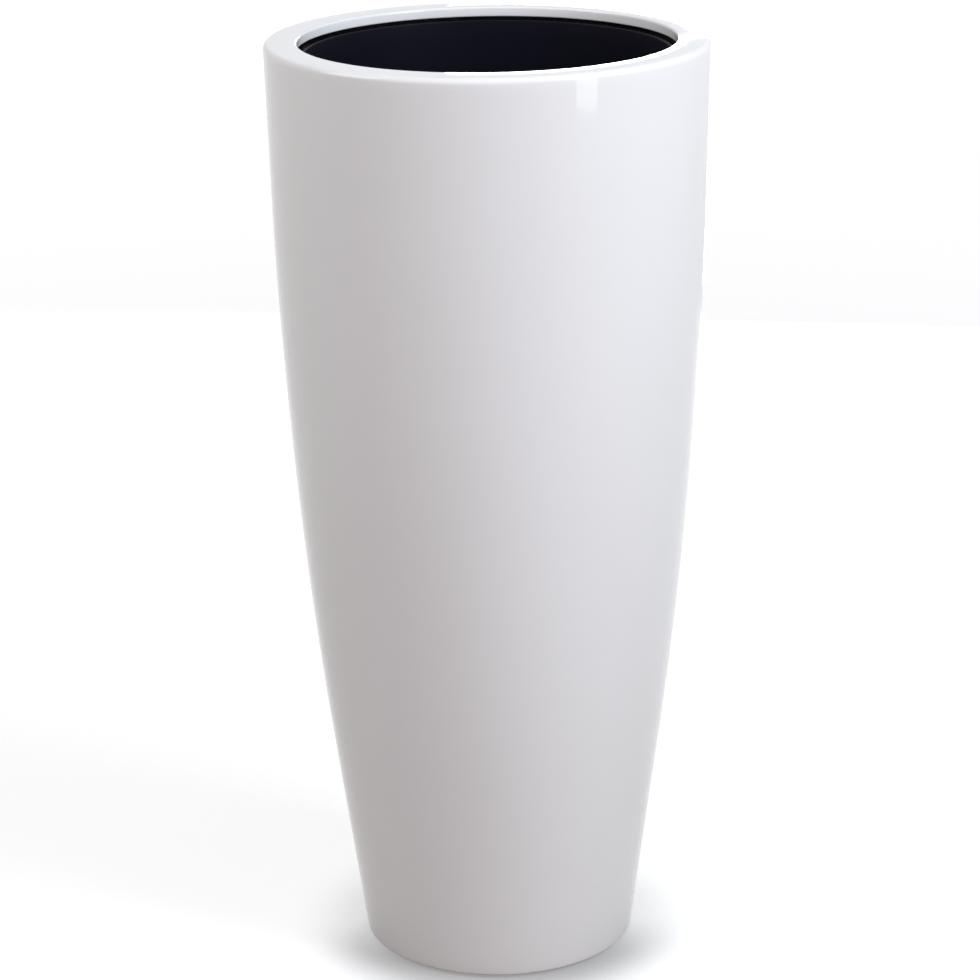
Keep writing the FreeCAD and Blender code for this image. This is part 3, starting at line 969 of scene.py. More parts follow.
@dataclass(frozen=True)
class CoatedSteel:
    """Black powder coat on steel, rubbed towards bright metal on its edges."""

    name: str
    colour: Colour = (0.024, 0.024, 0.027)
    steel: Colour = (0.42, 0.41, 0.40)
    scuffed: Colour = (0.10, 0.10, 0.10)
    dusty: Colour = (0.19, 0.17, 0.15)
    wear: float = 0.35
    edge_width: float = 0.0006
    peel_scale: float = 420.0
    peel_depth: float = 0.00006

    def build(self) -> bpy.types.Material:
        """Builds the material.

        Returns:
            The material.
        """
        graph = SurfaceGraph(self.name)
        mottle = graph.effect(Effect.MOTTLE, Scale=30.0, Strength=2.0)["Value"]
        scratches = graph.effect(Effect.SCRATCHES, Scale=160.0, Amount=0.6)
        edges = graph.effect(Effect.EDGES, Width=self.edge_width, Amount=self.wear)["Mask"]
        dust = graph.effect(Effect.DUST, Scale=110.0, Amount=0.15)["Mask"]
        coat = graph.blend(mottle, self.colour, toned(self.colour, 1.6))
        coat = graph.blend(graph.math("MULTIPLY", scratches["Mask"], 0.25), coat, self.scuffed)
        coat = graph.blend(dust, coat, self.dusty)
        colour = graph.blend(edges, coat, self.steel)
        roughness = graph.ramp(mottle, 0.2, 0.8, 0.36, 0.50)
        peel = graph.effect(Effect.RIPPLE, Scale=self.peel_scale, Depth=1.0)["Height"]
        graph.feed(graph.shader, "Metallic", edges)
        return graph.finish(colour, roughness, graph.bump(peel, self.peel_depth))


@dataclass(frozen=True)
class SpunAluminium:
    """Dull aluminium, marked by the setting tool."""

    name: str = "rivet_aluminium"
    colour: Colour = (0.66, 0.66, 0.67)
    scratch_depth: float = 0.00002

    def build(self) -> bpy.types.Material:
        """Builds the material.

        Returns:
            The material.
        """
        graph = SurfaceGraph(self.name)
        mottle = graph.effect(Effect.MOTTLE, Scale=180.0, Strength=2.2)["Value"]
        scratches = graph.effect(Effect.SCRATCHES, Scale=420.0, Amount=0.9)
        colour = graph.blend(mottle, self.colour, toned(self.colour, 0.72))
        roughness = graph.ramp(graph.math("MAXIMUM", mottle, scratches["Mask"]), 0.2, 0.9, 0.28, 0.5)
        normal = graph.bump(scratches["Height"], self.scratch_depth)
        return graph.finish(colour, roughness, normal, Metallic=1.0)


class Finishes:
    """Every finish of the planter, built once."""

    def __init__(self) -> None:
        """Builds all the materials."""
        self.gelcoat = Gelcoat().build()
        self.laminate = RawLaminate().build()
        self.inside = RawLaminate("topcoated_laminate", topcoat_from=0.46).build()
        self.liner = MouldedPlastic("liner_plastic", (0.0064, 0.0062, 0.0120), rubbed=(0.016, 0.017, 0.022),
                                    roughness=0.50, polished=0.40, dust=0.03, edge_wear=0.15,
                                    gloss=0.05).build()
        self.shelf = MouldedPlastic("shelf_plastic", (0.020, 0.020, 0.022), grain_scale=700.0,
                                    grain_depth=0.00008, dust=0.35).build()
        self.bung = SoftRubber("bung_rubber").build()
        self.pads = SoftRubber("pad_rubber", colour=(0.03, 0.03, 0.03)).build()
        self.wire = CoatedSteel("wire_coat", wear=0.25).build()
        self.plate = CoatedSteel("plate_coat", wear=0.5).build()
        self.rivet = SpunAluminium().build()


# ---------------------------------------------------------------- shell and what is bonded in it

@dataclass
class ShellSide:
    """The line of the shell's side: two straight stretches and one curve tangent to both."""

    height: float = 0.800
    rim_radius: float = 0.185
    base_radius: float = 0.1185
    foot_height: float = 0.002
    knee_height: float = 0.425
    upper_taper: float = math.radians(1.3)
    bend_length: float = 0.245

    @property
    def knee_radius(self) -> float:
        """Radius where the two straight stretches would meet."""
        return self.rim_radius - (self.height - self.knee_height) * math.tan(self.upper_taper)

    @property
    def lower_taper(self) -> float:
        """Taper of the lower straight stretch."""
        return math.atan((self.knee_radius - self.base_radius) / (self.knee_height - self.foot_height))

    @property
    def bend_radius(self) -> float:
        """Radius of the curve at the outside face."""
        return self.bend_length / math.tan((self.lower_taper - self.upper_taper) / 2)

    def bend_ends(self, depth: float) -> tuple[Point, Point]:
        """Ends of the curve on one face.

        Args:
            depth: How far the face lies inside the outside.

        Returns:
            The lower and the upper end.
        """
        low, high = self.lower_taper, self.upper_taper
        lower = (self.knee_radius - self.bend_length * math.sin(low) - depth * math.cos(low),
                 self.knee_height - self.bend_length * math.cos(low) + depth * math.sin(low))
        upper = (self.knee_radius + self.bend_length * math.sin(high) - depth * math.cos(high),
                 self.knee_height + self.bend_length * math.cos(high) + depth * math.sin(high))
        return lower, upper

    def radius_at(self, up: float, depth: float = 0.0) -> float:
        """Radius of a face at a height, on a straight stretch or on the curve.

        Args:
            up: The height.
            depth: How far the face lies inside the outside.

        Returns:
            The radius.
        """
        lower, upper = self.bend_ends(depth)
        if up <= lower[1]:
            slope = self.lower_taper
            return self.base_radius + (up - self.foot_height) * math.tan(slope) - depth / math.cos(slope)
        if up >= upper[1]:
            slope = self.upper_taper
            return self.rim_radius - (self.height - up) * math.tan(slope) - depth / math.cos(slope)
        radius = self.bend_radius - depth
        centre_up = lower[1] + radius * math.sin(self.lower_taper)
        centre_across = lower[0] - radius * math.cos(self.lower_taper)
        return centre_across + math.sqrt(radius ** 2 - (up - centre_up) ** 2)

    def face(self, depth: float, low: float, high: float, pieces: int) -> list[Point]:
        """Points from low to high on a face, evenly spaced in height.

        Args:
            depth: How far the face lies inside the outside.
            low: The lower height.
            high: The upper height.
            pieces: How many straight pieces to make.

        Returns:
            The points in order.
        """
        heights = [low + (high - low) * step / pieces for step in range(pieces + 1)]
        return [(self.radius_at(up, depth), up) for up in heights]


@dataclass
class Shell:
    """The laminate shell with the pieces that are bonded to it."""

    finishes: Finishes
    side: ShellSide = field(default_factory=ShellSide)
    wall: float = 0.004
    lip_width: float = 0.028
    return_depth: float = 0.0087
    rim_rounding: float = 0.005
    lip_rounding: float = 0.002
    return_rounding: float = 0.0012
    base_rounding: float = 0.003
    foot_width: float = 0.030
    foot_thickness: float = 0.005
    waviness: float = 0.9 * MM
    bond_gap: float = 0.1 * MM
    drain_radius: float = 0.010
    plate_edge: float = 0.0006
    plate_gap: float = 0.4 * MM
    fillet_height: float = 0.009
    cleat_nose: float = 0.138
    cleat_nose_height: float = 0.008
    cleat_half_angle: float = math.radians(8.0)
    cleat_gap: float = 0.3 * MM
    groove_shares: tuple[float, float] = (0.55, 0.66)
    groove_depth: float = 0.4 * MM
    cleats_and_pads: int = 4
    segments: int = 288
    rows: int = 70

    @property
    def opening(self) -> float:
        """Radius of the opening inside the lip."""
        return self.side.rim_radius - self.lip_width

    def build(self) -> None:
        """Builds the shell, its foot ring, its floor, its cleats and its pads."""
        self.build_shell()
        self.build_foot_ring()
        self.build_floor()
        for index in range(self.cleats_and_pads):
            self.build_cleat(index)
            self.build_pad(index)

    def section(self) -> list[Point]:
        """The closed section of the shell: outside, lip, return and inside.

        Returns:
            Its points, each a radius and a height.
        """
        side = self.side
        low = side.foot_height
        underside = side.height - self.wall
        return_low = side.height - self.return_depth
        outside = [Corner(*point) for point in side.face(0.0, low, side.height, self.rows)]
        outside[0] = Corner(side.base_radius, low, self.base_rounding)
        outside[-1] = Corner(side.rim_radius, side.height, self.rim_rounding)
        inside = [Corner(*point) for point in side.face(self.wall, low, underside, self.rows)]
        lip = [
            Corner(self.opening, side.height, self.lip_rounding),
            Corner(self.opening, return_low, self.return_rounding),
            Corner(self.opening + self.wall, return_low, self.return_rounding),
            Corner(self.opening + self.wall, underside, self.lip_rounding),
        ]
        return outline(outside + lip + inside[::-1])

    def build_shell(self) -> None:
        """The seamless shell: gelcoat where the mould was, laminate with a black topcoat inside."""
        piece = new_object("shell", turned(self.section(), self.segments))
        inner_edge = self.opening + self.wall / 2

        def hand_laid(place: Vector) -> float:
            """Share of the waviness: none on the moulded faces, or low down where the foot ring fits.

            Args:
                place: A point of the shell.

            Returns:
                1 on the hand-laid inside, otherwise 0.
            """
            depth = self.side.radius_at(place.z) - math.hypot(place.x, place.y)
            above_ring = place.z > self.side.foot_height + 2 * self.foot_thickness
            below_return = place.z < self.side.height - 2 * self.return_depth
            return 1.0 if depth > self.wall / 2 and above_ring and below_return else 0.0

        ruffle(piece, self.waviness, scale=34.0, where=hand_laid)
        finishes = (self.finishes.gelcoat, self.finishes.inside)
        settle(piece, Body.POT.value, finishes, ["outer_shell"])
        for face in piece.data.polygons:
            centre = face.center
            radius = math.hypot(centre.x, centre.y)
            depth = self.side.radius_at(min(centre.z, self.side.height)) - radius
            under_lip = centre.z < self.side.height - self.wall / 2 and radius > inner_edge
            below_lip = centre.z < self.side.height - self.return_depth
            inside = depth > self.wall / 2 and (under_lip or below_lip)
            face.material_index = 1 if inside else 0

    def build_foot_ring(self) -> None:
        """The laminate ring bonded inside the wall's lower edge, and the bead of resin below it."""
        low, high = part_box("foot_ring")
        inner = self.side.base_radius - self.foot_width
        seam = self.side.radius_at(low.z, self.wall + self.bond_gap)
        corners = [
            Corner(inner, low.z, self.return_rounding),
            Corner(seam, low.z, 0.9 * MM),
            Corner(self.side.radius_at(high.z, self.wall + self.bond_gap), high.z),
            Corner(inner, high.z, 0.6 * MM),
        ]
        ring = new_object("foot_ring_laminate", turned(outline(corners, steps=4), self.segments))
        settle(ring, Body.POT.value, [self.finishes.laminate], ["foot_ring"])
        bead_corners = [
            Corner(seam - 1.5 * MM, low.z + 0.15 * MM, 0.1 * MM),
            Corner(seam + 0.7 * MM, low.z + 0.15 * MM, 0.1 * MM),
            Corner(seam + 0.2 * MM, low.z + 1.2 * MM, 0.1 * MM),
            Corner(seam - 0.6 * MM, low.z + 1.2 * MM, 0.1 * MM),
        ]
        bead = new_object("foot_seam_bead", turned(outline(bead_corners, steps=2), self.segments))
        settle(bead, Body.POT.value, [self.finishes.laminate])

    def build_floor(self) -> None:
        """The floor panel on the foot ring, and the resin fillet that seals it to the wall."""
        low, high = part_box("base_plate")
        corners = [
            Corner(self.drain_radius, low.z, self.plate_edge),
            Corner(high.x, low.z, self.plate_edge),
            Corner(self.side.radius_at(high.z, self.wall + self.plate_gap), high.z, self.plate_edge),
            Corner(self.drain_radius, high.z, self.plate_edge),
        ]
        panel = new_object("floor_panel", turned(outline(corners, steps=3), self.segments))
        settle(panel, Body.POT.value, [self.finishes.laminate], ["base_plate"])
        cove = self.fillet_height
        wall_low = self.side.radius_at(high.z, self.wall)
        wall_high = self.side.radius_at(high.z + cove, self.wall)
        steps = 8
        arc = []
        for step in range(steps + 1):
            angle = math.pi / 2 * step / steps
            lean = (wall_high - wall_low) * (1 - step / steps)
            across = wall_high - cove * (1 - math.cos(angle)) - lean
            arc.append((across, high.z + cove * (1 - math.sin(angle))))
        fillet_points = [(wall_low + 0.3 * MM, high.z), (wall_high + 0.3 * MM, high.z + cove), *arc]
        fillet = new_object("floor_fillet", turned(fillet_points, self.segments))
        ruffle(fillet, 0.6 * MM, scale=60.0, where=lambda place: float(place.z > high.z + 1 * MM))
        settle(fillet, Body.POT.value, [self.finishes.laminate])

    def build_cleat(self, index: int) -> None:
        """One bonded gusset that carries the shelf, its back curved to the wall.

        Args:
            index: Which of the cleats, from 0.
        """
        node = f"shelf_cleat_{index + 1}"
        low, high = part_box(node)
        nose_radius, half_angle = self.cleat_nose, self.cleat_half_angle
        columns = 14
        slope_rows = 8
        shape = bmesh.new()
        sections = []
        for column in range(columns + 1):
            angle = -half_angle + 2 * half_angle * column / columns
            back = []
            for row in range(slope_rows + 1):
                up = low.z + (high.z - low.z) * row / slope_rows
                back.append((self.side.radius_at(up, self.wall + self.cleat_gap), up))
            front = [(nose_radius, high.z), (nose_radius, high.z - self.cleat_nose_height)]
            cos, sin = math.cos(angle), math.sin(angle)
            sections.append([shape.verts.new((r * cos, r * sin, up)) for r, up in back + front])
        sweep(shape, sections)
        piece = soften(new_object(f"cleat_{index + 1}", shape), 1.2 * MM, 3)
        piece.data.transform(Matrix.Rotation(FULL_TURN * (index + 0.5) / self.cleats_and_pads, 4, "Z"))
        settle(piece, Body.POT.value, [self.finishes.laminate], [node])

    def build_pad(self, index: int) -> None:
        """One round rubber pad with a rounded lower edge and a ring groove.

        Args:
            index: Which of the pads, from 0.
        """
        node = f"foot_pad_{index + 1}"
        low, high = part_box(node)
        radius = (high.x - low.x) / 2
        groove_top = low.z + self.groove_depth
        inner, outer = (radius * share for share in self.groove_shares)
        corners = [
            Corner(0.0, low.z),
            Corner(inner, low.z),
            Corner(inner, groove_top),
            Corner(outer, groove_top),
            Corner(outer, low.z),
            Corner(radius, low.z, 0.6 * MM),
            Corner(radius, high.z, 0.15 * MM),
            Corner(0.0, high.z),
        ]
        section = outline(corners, closed=False, steps=4)
        piece = new_object(f"pad_{index + 1}", turned(section, 64, closed=False))
        piece.data.transform(Matrix.Translation(((low.x + high.x) / 2, (low.y + high.y) / 2, 0.0)))
        settle(piece, Body.POT.value, [self.finishes.pads], [node])


# ---------------------------------------------------------------- bung and shelf

@dataclass
class DrainBung:
    """The rubber bung in the floor's drain hole."""

    finishes: Finishes
    hole_radius: float = 0.010
    stem_gap: float = 0.00008
    flange_thickness: float = 0.004
    knob_radius: float = 0.007
    rim_width: float = 4.0 * MM
    dish_depth: float = 0.8 * MM

    def build(self) -> None:
        """Stem, flange with a raised rim, waisted knob."""
        low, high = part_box("drain_bung")
        plate_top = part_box("base_plate")[1].z
        flange = (high.x - low.x) / 2
        stem = self.hole_radius - self.stem_gap
        flange_top = plate_top + self.flange_thickness
        dish = flange_top - self.dish_depth
        corners = [
            Corner(0.0, low.z),
            Corner(stem - 1.0 * MM, low.z, 0.3 * MM),
            Corner(stem, low.z + 1.0 * MM, 0.3 * MM),
            Corner(stem, plate_top),
            Corner(flange, plate_top, 0.3 * MM),
            Corner(flange, flange_top, 1.4 * MM),
            Corner(flange - self.rim_width, flange_top, 0.6 * MM),
            Corner(flange - self.rim_width - 1.2 * MM, dish, 0.6 * MM),
            Corner(self.knob_radius - 0.6 * MM, dish, 1.6 * MM),
            Corner(self.knob_radius - 2.2 * MM, flange_top + 5.0 * MM, 2.5 * MM),
            Corner(self.knob_radius, high.z - 4.0 * MM, 1.5 * MM),
            Corner(self.knob_radius - 0.4 * MM, high.z, 2.4 * MM),
            Corner(0.0, high.z),
        ]
        piece = new_object("bung", turned(outline(corners, closed=False), 72, closed=False))
        settle(piece, Body.BUNG.value, [self.finishes.bung], ["drain_bung"])


@dataclass
class PlantingShelf:
    """The disc at half height, with a finger hole and drain holes."""

    finishes: Finishes
    finger_radius: float = 0.020
    drain_radius: float = 0.005
    drain_circle: float = 0.085
    drain_count: int = 6
    flare: float = 0.8 * MM
    drill_clear: float = 2.0 * MM
    edge: float = 0.001

    def build(self) -> None:
        """Turned disc with rounded edges, then the drilled holes, flared at both ends."""
        low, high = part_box("planting_shelf")
        corners = [
            Corner(self.finger_radius, low.z, self.edge),
            Corner(high.x, low.z, self.edge),
            Corner(high.x, high.z, self.edge),
            Corner(self.finger_radius, high.z, self.edge),
        ]
        piece = new_object("shelf", turned(outline(corners, steps=4), 192))
        flare, clear = self.flare, self.drill_clear
        bit = [
            (0.0, low.z - clear),
            (self.drain_radius + flare + clear, low.z - clear),
            (self.drain_radius, low.z + flare),
            (self.drain_radius, high.z - flare),
            (self.drain_radius + flare + clear, high.z + clear),
            (0.0, high.z + clear),
        ]
        drill(piece, bit, ring_of(self.drain_count, self.drain_circle))
        settle(piece, Body.SHELF.value, [self.finishes.shelf], ["planting_shelf"])


# ---------------------------------------------------------------- liner

@dataclass
class Liner:
    """The lift-out liner on its foot ring."""

    finishes: Finishes
    rim_radius: float = 0.155
    taper: float = math.radians(3.5)
    wall: float = 0.003
    floor: float = 0.004
    foot_height: float = 0.006
    foot_width: float = 0.010
    edge: float = 0.001
    drain_radius: float = 0.006
    drain_circle: float = 0.075
    drain_count: int = 6
    flare: float = 0.9 * MM
    drill_clear: float = 2.0 * MM
    segments: int = 256
    rows: int = 24

    def build(self) -> None:
        """Builds the tub, with drain holes that flare at the top."""
        low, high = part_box("liner")
        rim = self.rim_radius
        base = rim - (high.z - low.z) * math.tan(self.taper)
        floor_low = low.z + self.foot_height
        floor_top = floor_low + self.floor
        slope = self.wall / math.cos(self.taper)

        def inner(up: float) -> float:
            """Inside radius at a height."""
            return rim - (high.z - up) * math.tan(self.taper) - slope

        rows = self.rows
        corners = [
            Corner(0.0, floor_low),
            Corner(base - self.foot_width, floor_low, 1.5 * MM),
            Corner(base - self.foot_width, low.z, self.edge),
            Corner(base, low.z, self.edge),
        ]
        rise = (high.z - low.z) / rows
        slant = math.tan(self.taper)
        corners += [Corner(base + rise * row * slant, low.z + rise * row) for row in range(1, rows)]
        corners += [Corner(rim, high.z, self.edge), Corner(inner(high.z), high.z, self.edge)]
        drop = (high.z - floor_top) / rows
        corners += [Corner(inner(high.z - drop * row), high.z - drop * row) for row in range(1, rows)]
        corners += [Corner(inner(floor_top), floor_top, 3.0 * MM), Corner(0.0, floor_top)]
        piece = new_object("liner_tub", turned(outline(corners, closed=False), self.segments, closed=False))
        flare, clear = self.flare, self.drill_clear
        bit = [
            (0.0, floor_low - clear),
            (self.drain_radius, floor_low - clear),
            (self.drain_radius, floor_top - flare),
            (self.drain_radius + flare + clear, floor_top + clear),
            (0.0, floor_top + clear),
        ]
        drill(piece, bit, [(0.0, 0.0), *ring_of(self.drain_count, self.drain_circle)])
        settle(piece, Body.LINER.value, [self.finishes.liner], ["liner"])


@dataclass
class HandleSet:
    """One lifting handle: its riveted plate with two ears, its rivets and its wire bail."""

    finishes: Finishes
    side: Side
    liner: Liner
    pivot_drop: float = 0.027
    pivot_inset: float = 0.016
    plate_gap: float = 0.0006
    gauge: float = 0.0015
    plate_height: float = 0.024
    plate_margin: float = 0.008
    ear_gauge: float = 0.002
    ear_radius: float = 0.006
    wire_radius: float = 0.0025
    wire_gap: float = 0.00008
    half_width: float = 0.034
    drop: float = 0.068
    shoulder: float = 0.007
    grip_bend: float = 0.012
    side_play: float = 0.0005
    head_radius: float = 0.00375
    head_thickness: float = 0.0015
    rivet_inset: float = 0.010
    rivet_head: float = 4.75 * MM
    rivet_play: float = 0.06 * MM

    def __post_init__(self) -> None:
        """Works out the places that the pieces share."""
        self.taper = self.liner.taper
        self.pivot_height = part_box("liner")[1].z - self.pivot_drop
        outside = self.liner.rim_radius - self.pivot_drop * math.tan(self.taper)
        self.wall_radius = outside - self.liner.wall / math.cos(self.taper)
        self.pivot_radius = self.wall_radius - self.pivot_inset
        self.ear_inner = self.half_width + self.shoulder + self.side_play
        self.ear_outer = self.ear_inner + self.ear_gauge

    def build(self) -> None:
        """Builds plate, rivets and bail."""
        self.build_plate()
        self.build_rivets()
        self.build_bail()

    def cone(self, up: float, depth: float) -> float:
        """Radius of the cone that lies depth inside the liner's inner wall, at a height."""
        at_wall = self.wall_radius + (up - self.pivot_height) * math.tan(self.taper)
        return at_wall - depth / math.cos(self.taper)

    def band(self) -> bmesh.types.BMesh:
        """The curved plate: a rounded oblong bent round the liner's wall.

        Returns:
            The bmesh.
        """
        half_angle = math.asin((self.ear_outer + self.plate_margin) / self.wall_radius)
        half_length = half_angle * self.wall_radius
        half_height = self.plate_height / 2
        corner = 4.0 * MM
        corners = [
            Corner(-half_length, -half_height, corner),
            Corner(half_length, -half_height, corner),
            Corner(half_length, half_height, corner),
            Corner(-half_length, half_height, corner),
        ]
        shape = flat_plate(outline(corners), [], self.gauge)
        cuts = 40
        for step in range(1, cuts):
            across = -half_length + 2 * half_length * step / cuts
            geometry = list(shape.verts) + list(shape.edges) + list(shape.faces)
            bmesh.ops.bisect_plane(shape, geom=geometry, plane_co=(across, 0, 0), plane_no=(1, 0, 0))
        for vert in shape.verts:
            angle = vert.co.x / self.wall_radius
            up = self.pivot_height + vert.co.y
            radius = self.cone(up, self.plate_gap + self.gauge - vert.co.z)
            vert.co = Vector((radius * math.cos(angle), radius * math.sin(angle), up))
        return shape

    def ear(self, sign: int) -> bmesh.types.BMesh:
        """One ear: a rounded tab with the hole that the wire turns in.

        Args:
            sign: 1 for the ear towards +Y, -1 for the other.

        Returns:
            The bmesh.
        """
        steps = 24
        hole_steps = 36
        reach = math.sqrt((self.wall_radius - self.plate_gap - self.gauge / 2) ** 2 - self.ear_outer ** 2)
        depth = reach - self.pivot_radius
        turns = [math.pi * step / steps for step in range(steps + 1)]
        nose = [(-self.ear_radius * math.sin(turn), self.ear_radius * math.cos(turn)) for turn in turns]
        boundary = nose + [(depth, -self.ear_radius), (depth, self.ear_radius)]
        hole = ring_of(hole_steps, self.wire_radius + self.wire_gap)
        shape = flat_plate(boundary, [hole], self.ear_gauge)
        upright = Matrix((
            (1, 0, 0, self.pivot_radius),
            (0, 0, 1, 0),
            (0, 1, 0, self.pivot_height),
            (0, 0, 0, 1),
        ))
        bmesh.ops.transform(shape, matrix=upright, verts=shape.verts)
        start = self.ear_inner if sign > 0 else -self.ear_outer
        bmesh.ops.translate(shape, verts=shape.verts, vec=(0.0, start, 0.0))
        return shape

    def build_plate(self) -> None:
        """Plate and ears as one piece of steel."""
        whole = merged([self.band(), self.ear(1), self.ear(-1)])
        piece = soften(new_object(f"ear_plate_{self.side.word}", whole), 0.3 * MM)
        piece.data.transform(self.side.turn)
        node = f"handle_plate_{self.side.word}"
        settle(piece, Body.LINER.value, [self.finishes.plate], [node])

    def rivet_section(self, head_from: float, tail_from: float) -> list[Point]:
        """Outline of a rivet lying along its axis: domed head, shank, rolled tail.

        Args:
            head_from: Where the head's flat lies on the axis.
            tail_from: Where the tail's flat lies on the axis.

        Returns:
            Points, each a radius and a place on the axis.
        """
        head, head_height, head_steps = self.rivet_head, 1.8 * MM, 8
        tail, tail_height, tail_steps = 4.0 * MM, 1.2 * MM, 6
        shank = 2.4 * MM
        dome = []
        for step in range(head_steps + 1):
            angle = math.pi / 2 * step / head_steps
            dome.append((head * math.sin(angle), head_from - head_height * math.cos(angle)))
        roll = []
        for step in range(tail_steps + 1):
            angle = math.pi / 2 * (1 - step / tail_steps)
            roll.append((tail * math.sin(angle), tail_from + tail_height * math.cos(angle)))
        return dome + [(shank, head_from), (shank, tail_from)] + roll

    def build_rivets(self) -> None:
        """The two rivets through the plate and the liner's wall, seated clear of taper and curve."""
        angle = math.asin((self.half_width - self.rivet_inset) / self.wall_radius)
        head = self.rivet_head
        seat = head * math.tan(self.taper) + (2 * head) ** 2 / (8 * self.wall_radius) + self.rivet_play
        head_from = self.cone(self.pivot_height, self.plate_gap + self.gauge) - seat
        tail_from = self.wall_radius + self.liner.wall / math.cos(self.taper) + seat
        lying = Matrix.Rotation(math.pi / 2, 4, "Y")
        for word, turn in (("ahead", angle), ("behind", -angle)):
            section = self.rivet_section(head_from, tail_from)
            piece = new_object(f"rivet_{self.side.word}_{word}", turned(section, 48, closed=False))
            lift = Matrix.Translation((0.0, 0.0, self.pivot_height))
            piece.data.transform(self.side.turn @ Matrix.Rotation(turn, 4, "Z") @ lift @ lying)
            settle(piece, Body.LINER.value, [self.finishes.rivet], ["handle_rivets"])

    def wire_path(self) -> list[tuple[Vector, float]]:
        """The wire's centre line in its own upright plane.

        Returns:
            Its points in order, each with the radius there.
        """
        head_inner = self.ear_outer + self.side_play
        head_outer = head_inner + self.head_thickness
        rounding = 0.5 * MM
        half = [
            (Vector((head_outer, 0.0)), self.head_radius - rounding),
            (Vector((head_outer - rounding * 0.3, 0.0)), self.head_radius - rounding * 0.3),
            (Vector((head_outer - rounding, 0.0)), self.head_radius),
            (Vector((head_inner, 0.0)), self.head_radius),
            (Vector((head_inner - 0.01 * MM, 0.0)), self.wire_radius),
        ]
        corners = [
            Corner(head_inner, 0.0),
            Corner(self.half_width, 0.0, self.shoulder),
            Corner(self.half_width, -self.drop, self.grip_bend),
            Corner(0.0, -self.drop),
        ]
        run = outline(corners, closed=False, steps=12)[1:]
        half += [(Vector(point), self.wire_radius) for point in run]
        mirrored = [(Vector((-point.x, point.y)), radius) for point, radius in reversed(half[:-1])]
        return half + mirrored

    def build_bail(self) -> None:
        """The wire bail, hanging, swept along its centre line."""
        path = self.wire_path()
        around = 24
        shape = bmesh.new()
        rings = []
        for index, (point, radius) in enumerate(path):
            before = path[max(index - 1, 0)][0]
            after = path[min(index + 1, len(path) - 1)][0]
            along = (after - before).normalized()
            across = Vector((-along.y, along.x))
            ring = []
            for step in range(around):
                angle = FULL_TURN * step / around
                place = point + across * math.cos(angle) * radius
                ring.append(shape.verts.new((radius * math.sin(angle), place.x, place.y)))
            rings.append(ring)
        sweep(shape, rings)
        piece = new_object(f"bail_{self.side.word}", shape)
        piece.data.transform(self.side.turn @ Matrix.Translation((self.pivot_radius, 0.0, self.pivot_height)))
        name = f"handle_{self.side.word}"
        settle(piece, name, [self.finishes.wire], [name])


# ---------------------------------------------------------------- studio

@dataclass(frozen=True)
class Glow:
    """A broad glow in the sky, strongest in one direction and gone at a right angle to it."""

    towards: tuple[float, float, float]
    level: float


@dataclass(frozen=True)
class SoftBox:
    """A rectangular lamp, by its bearing from the front (towards +X), distance and height."""

    name: str
    bearing: float
    distance: float
    height: float
    aim_height: float
    size: tuple[float, float]
    power: float
    colour: Colour = (1.0, 1.0, 1.0)

    @property
    def place(self) -> Vector:
        """Where the lamp stands."""
        angle = math.radians(self.bearing)
        return Vector((self.distance * math.sin(angle), -self.distance * math.cos(angle), self.height))


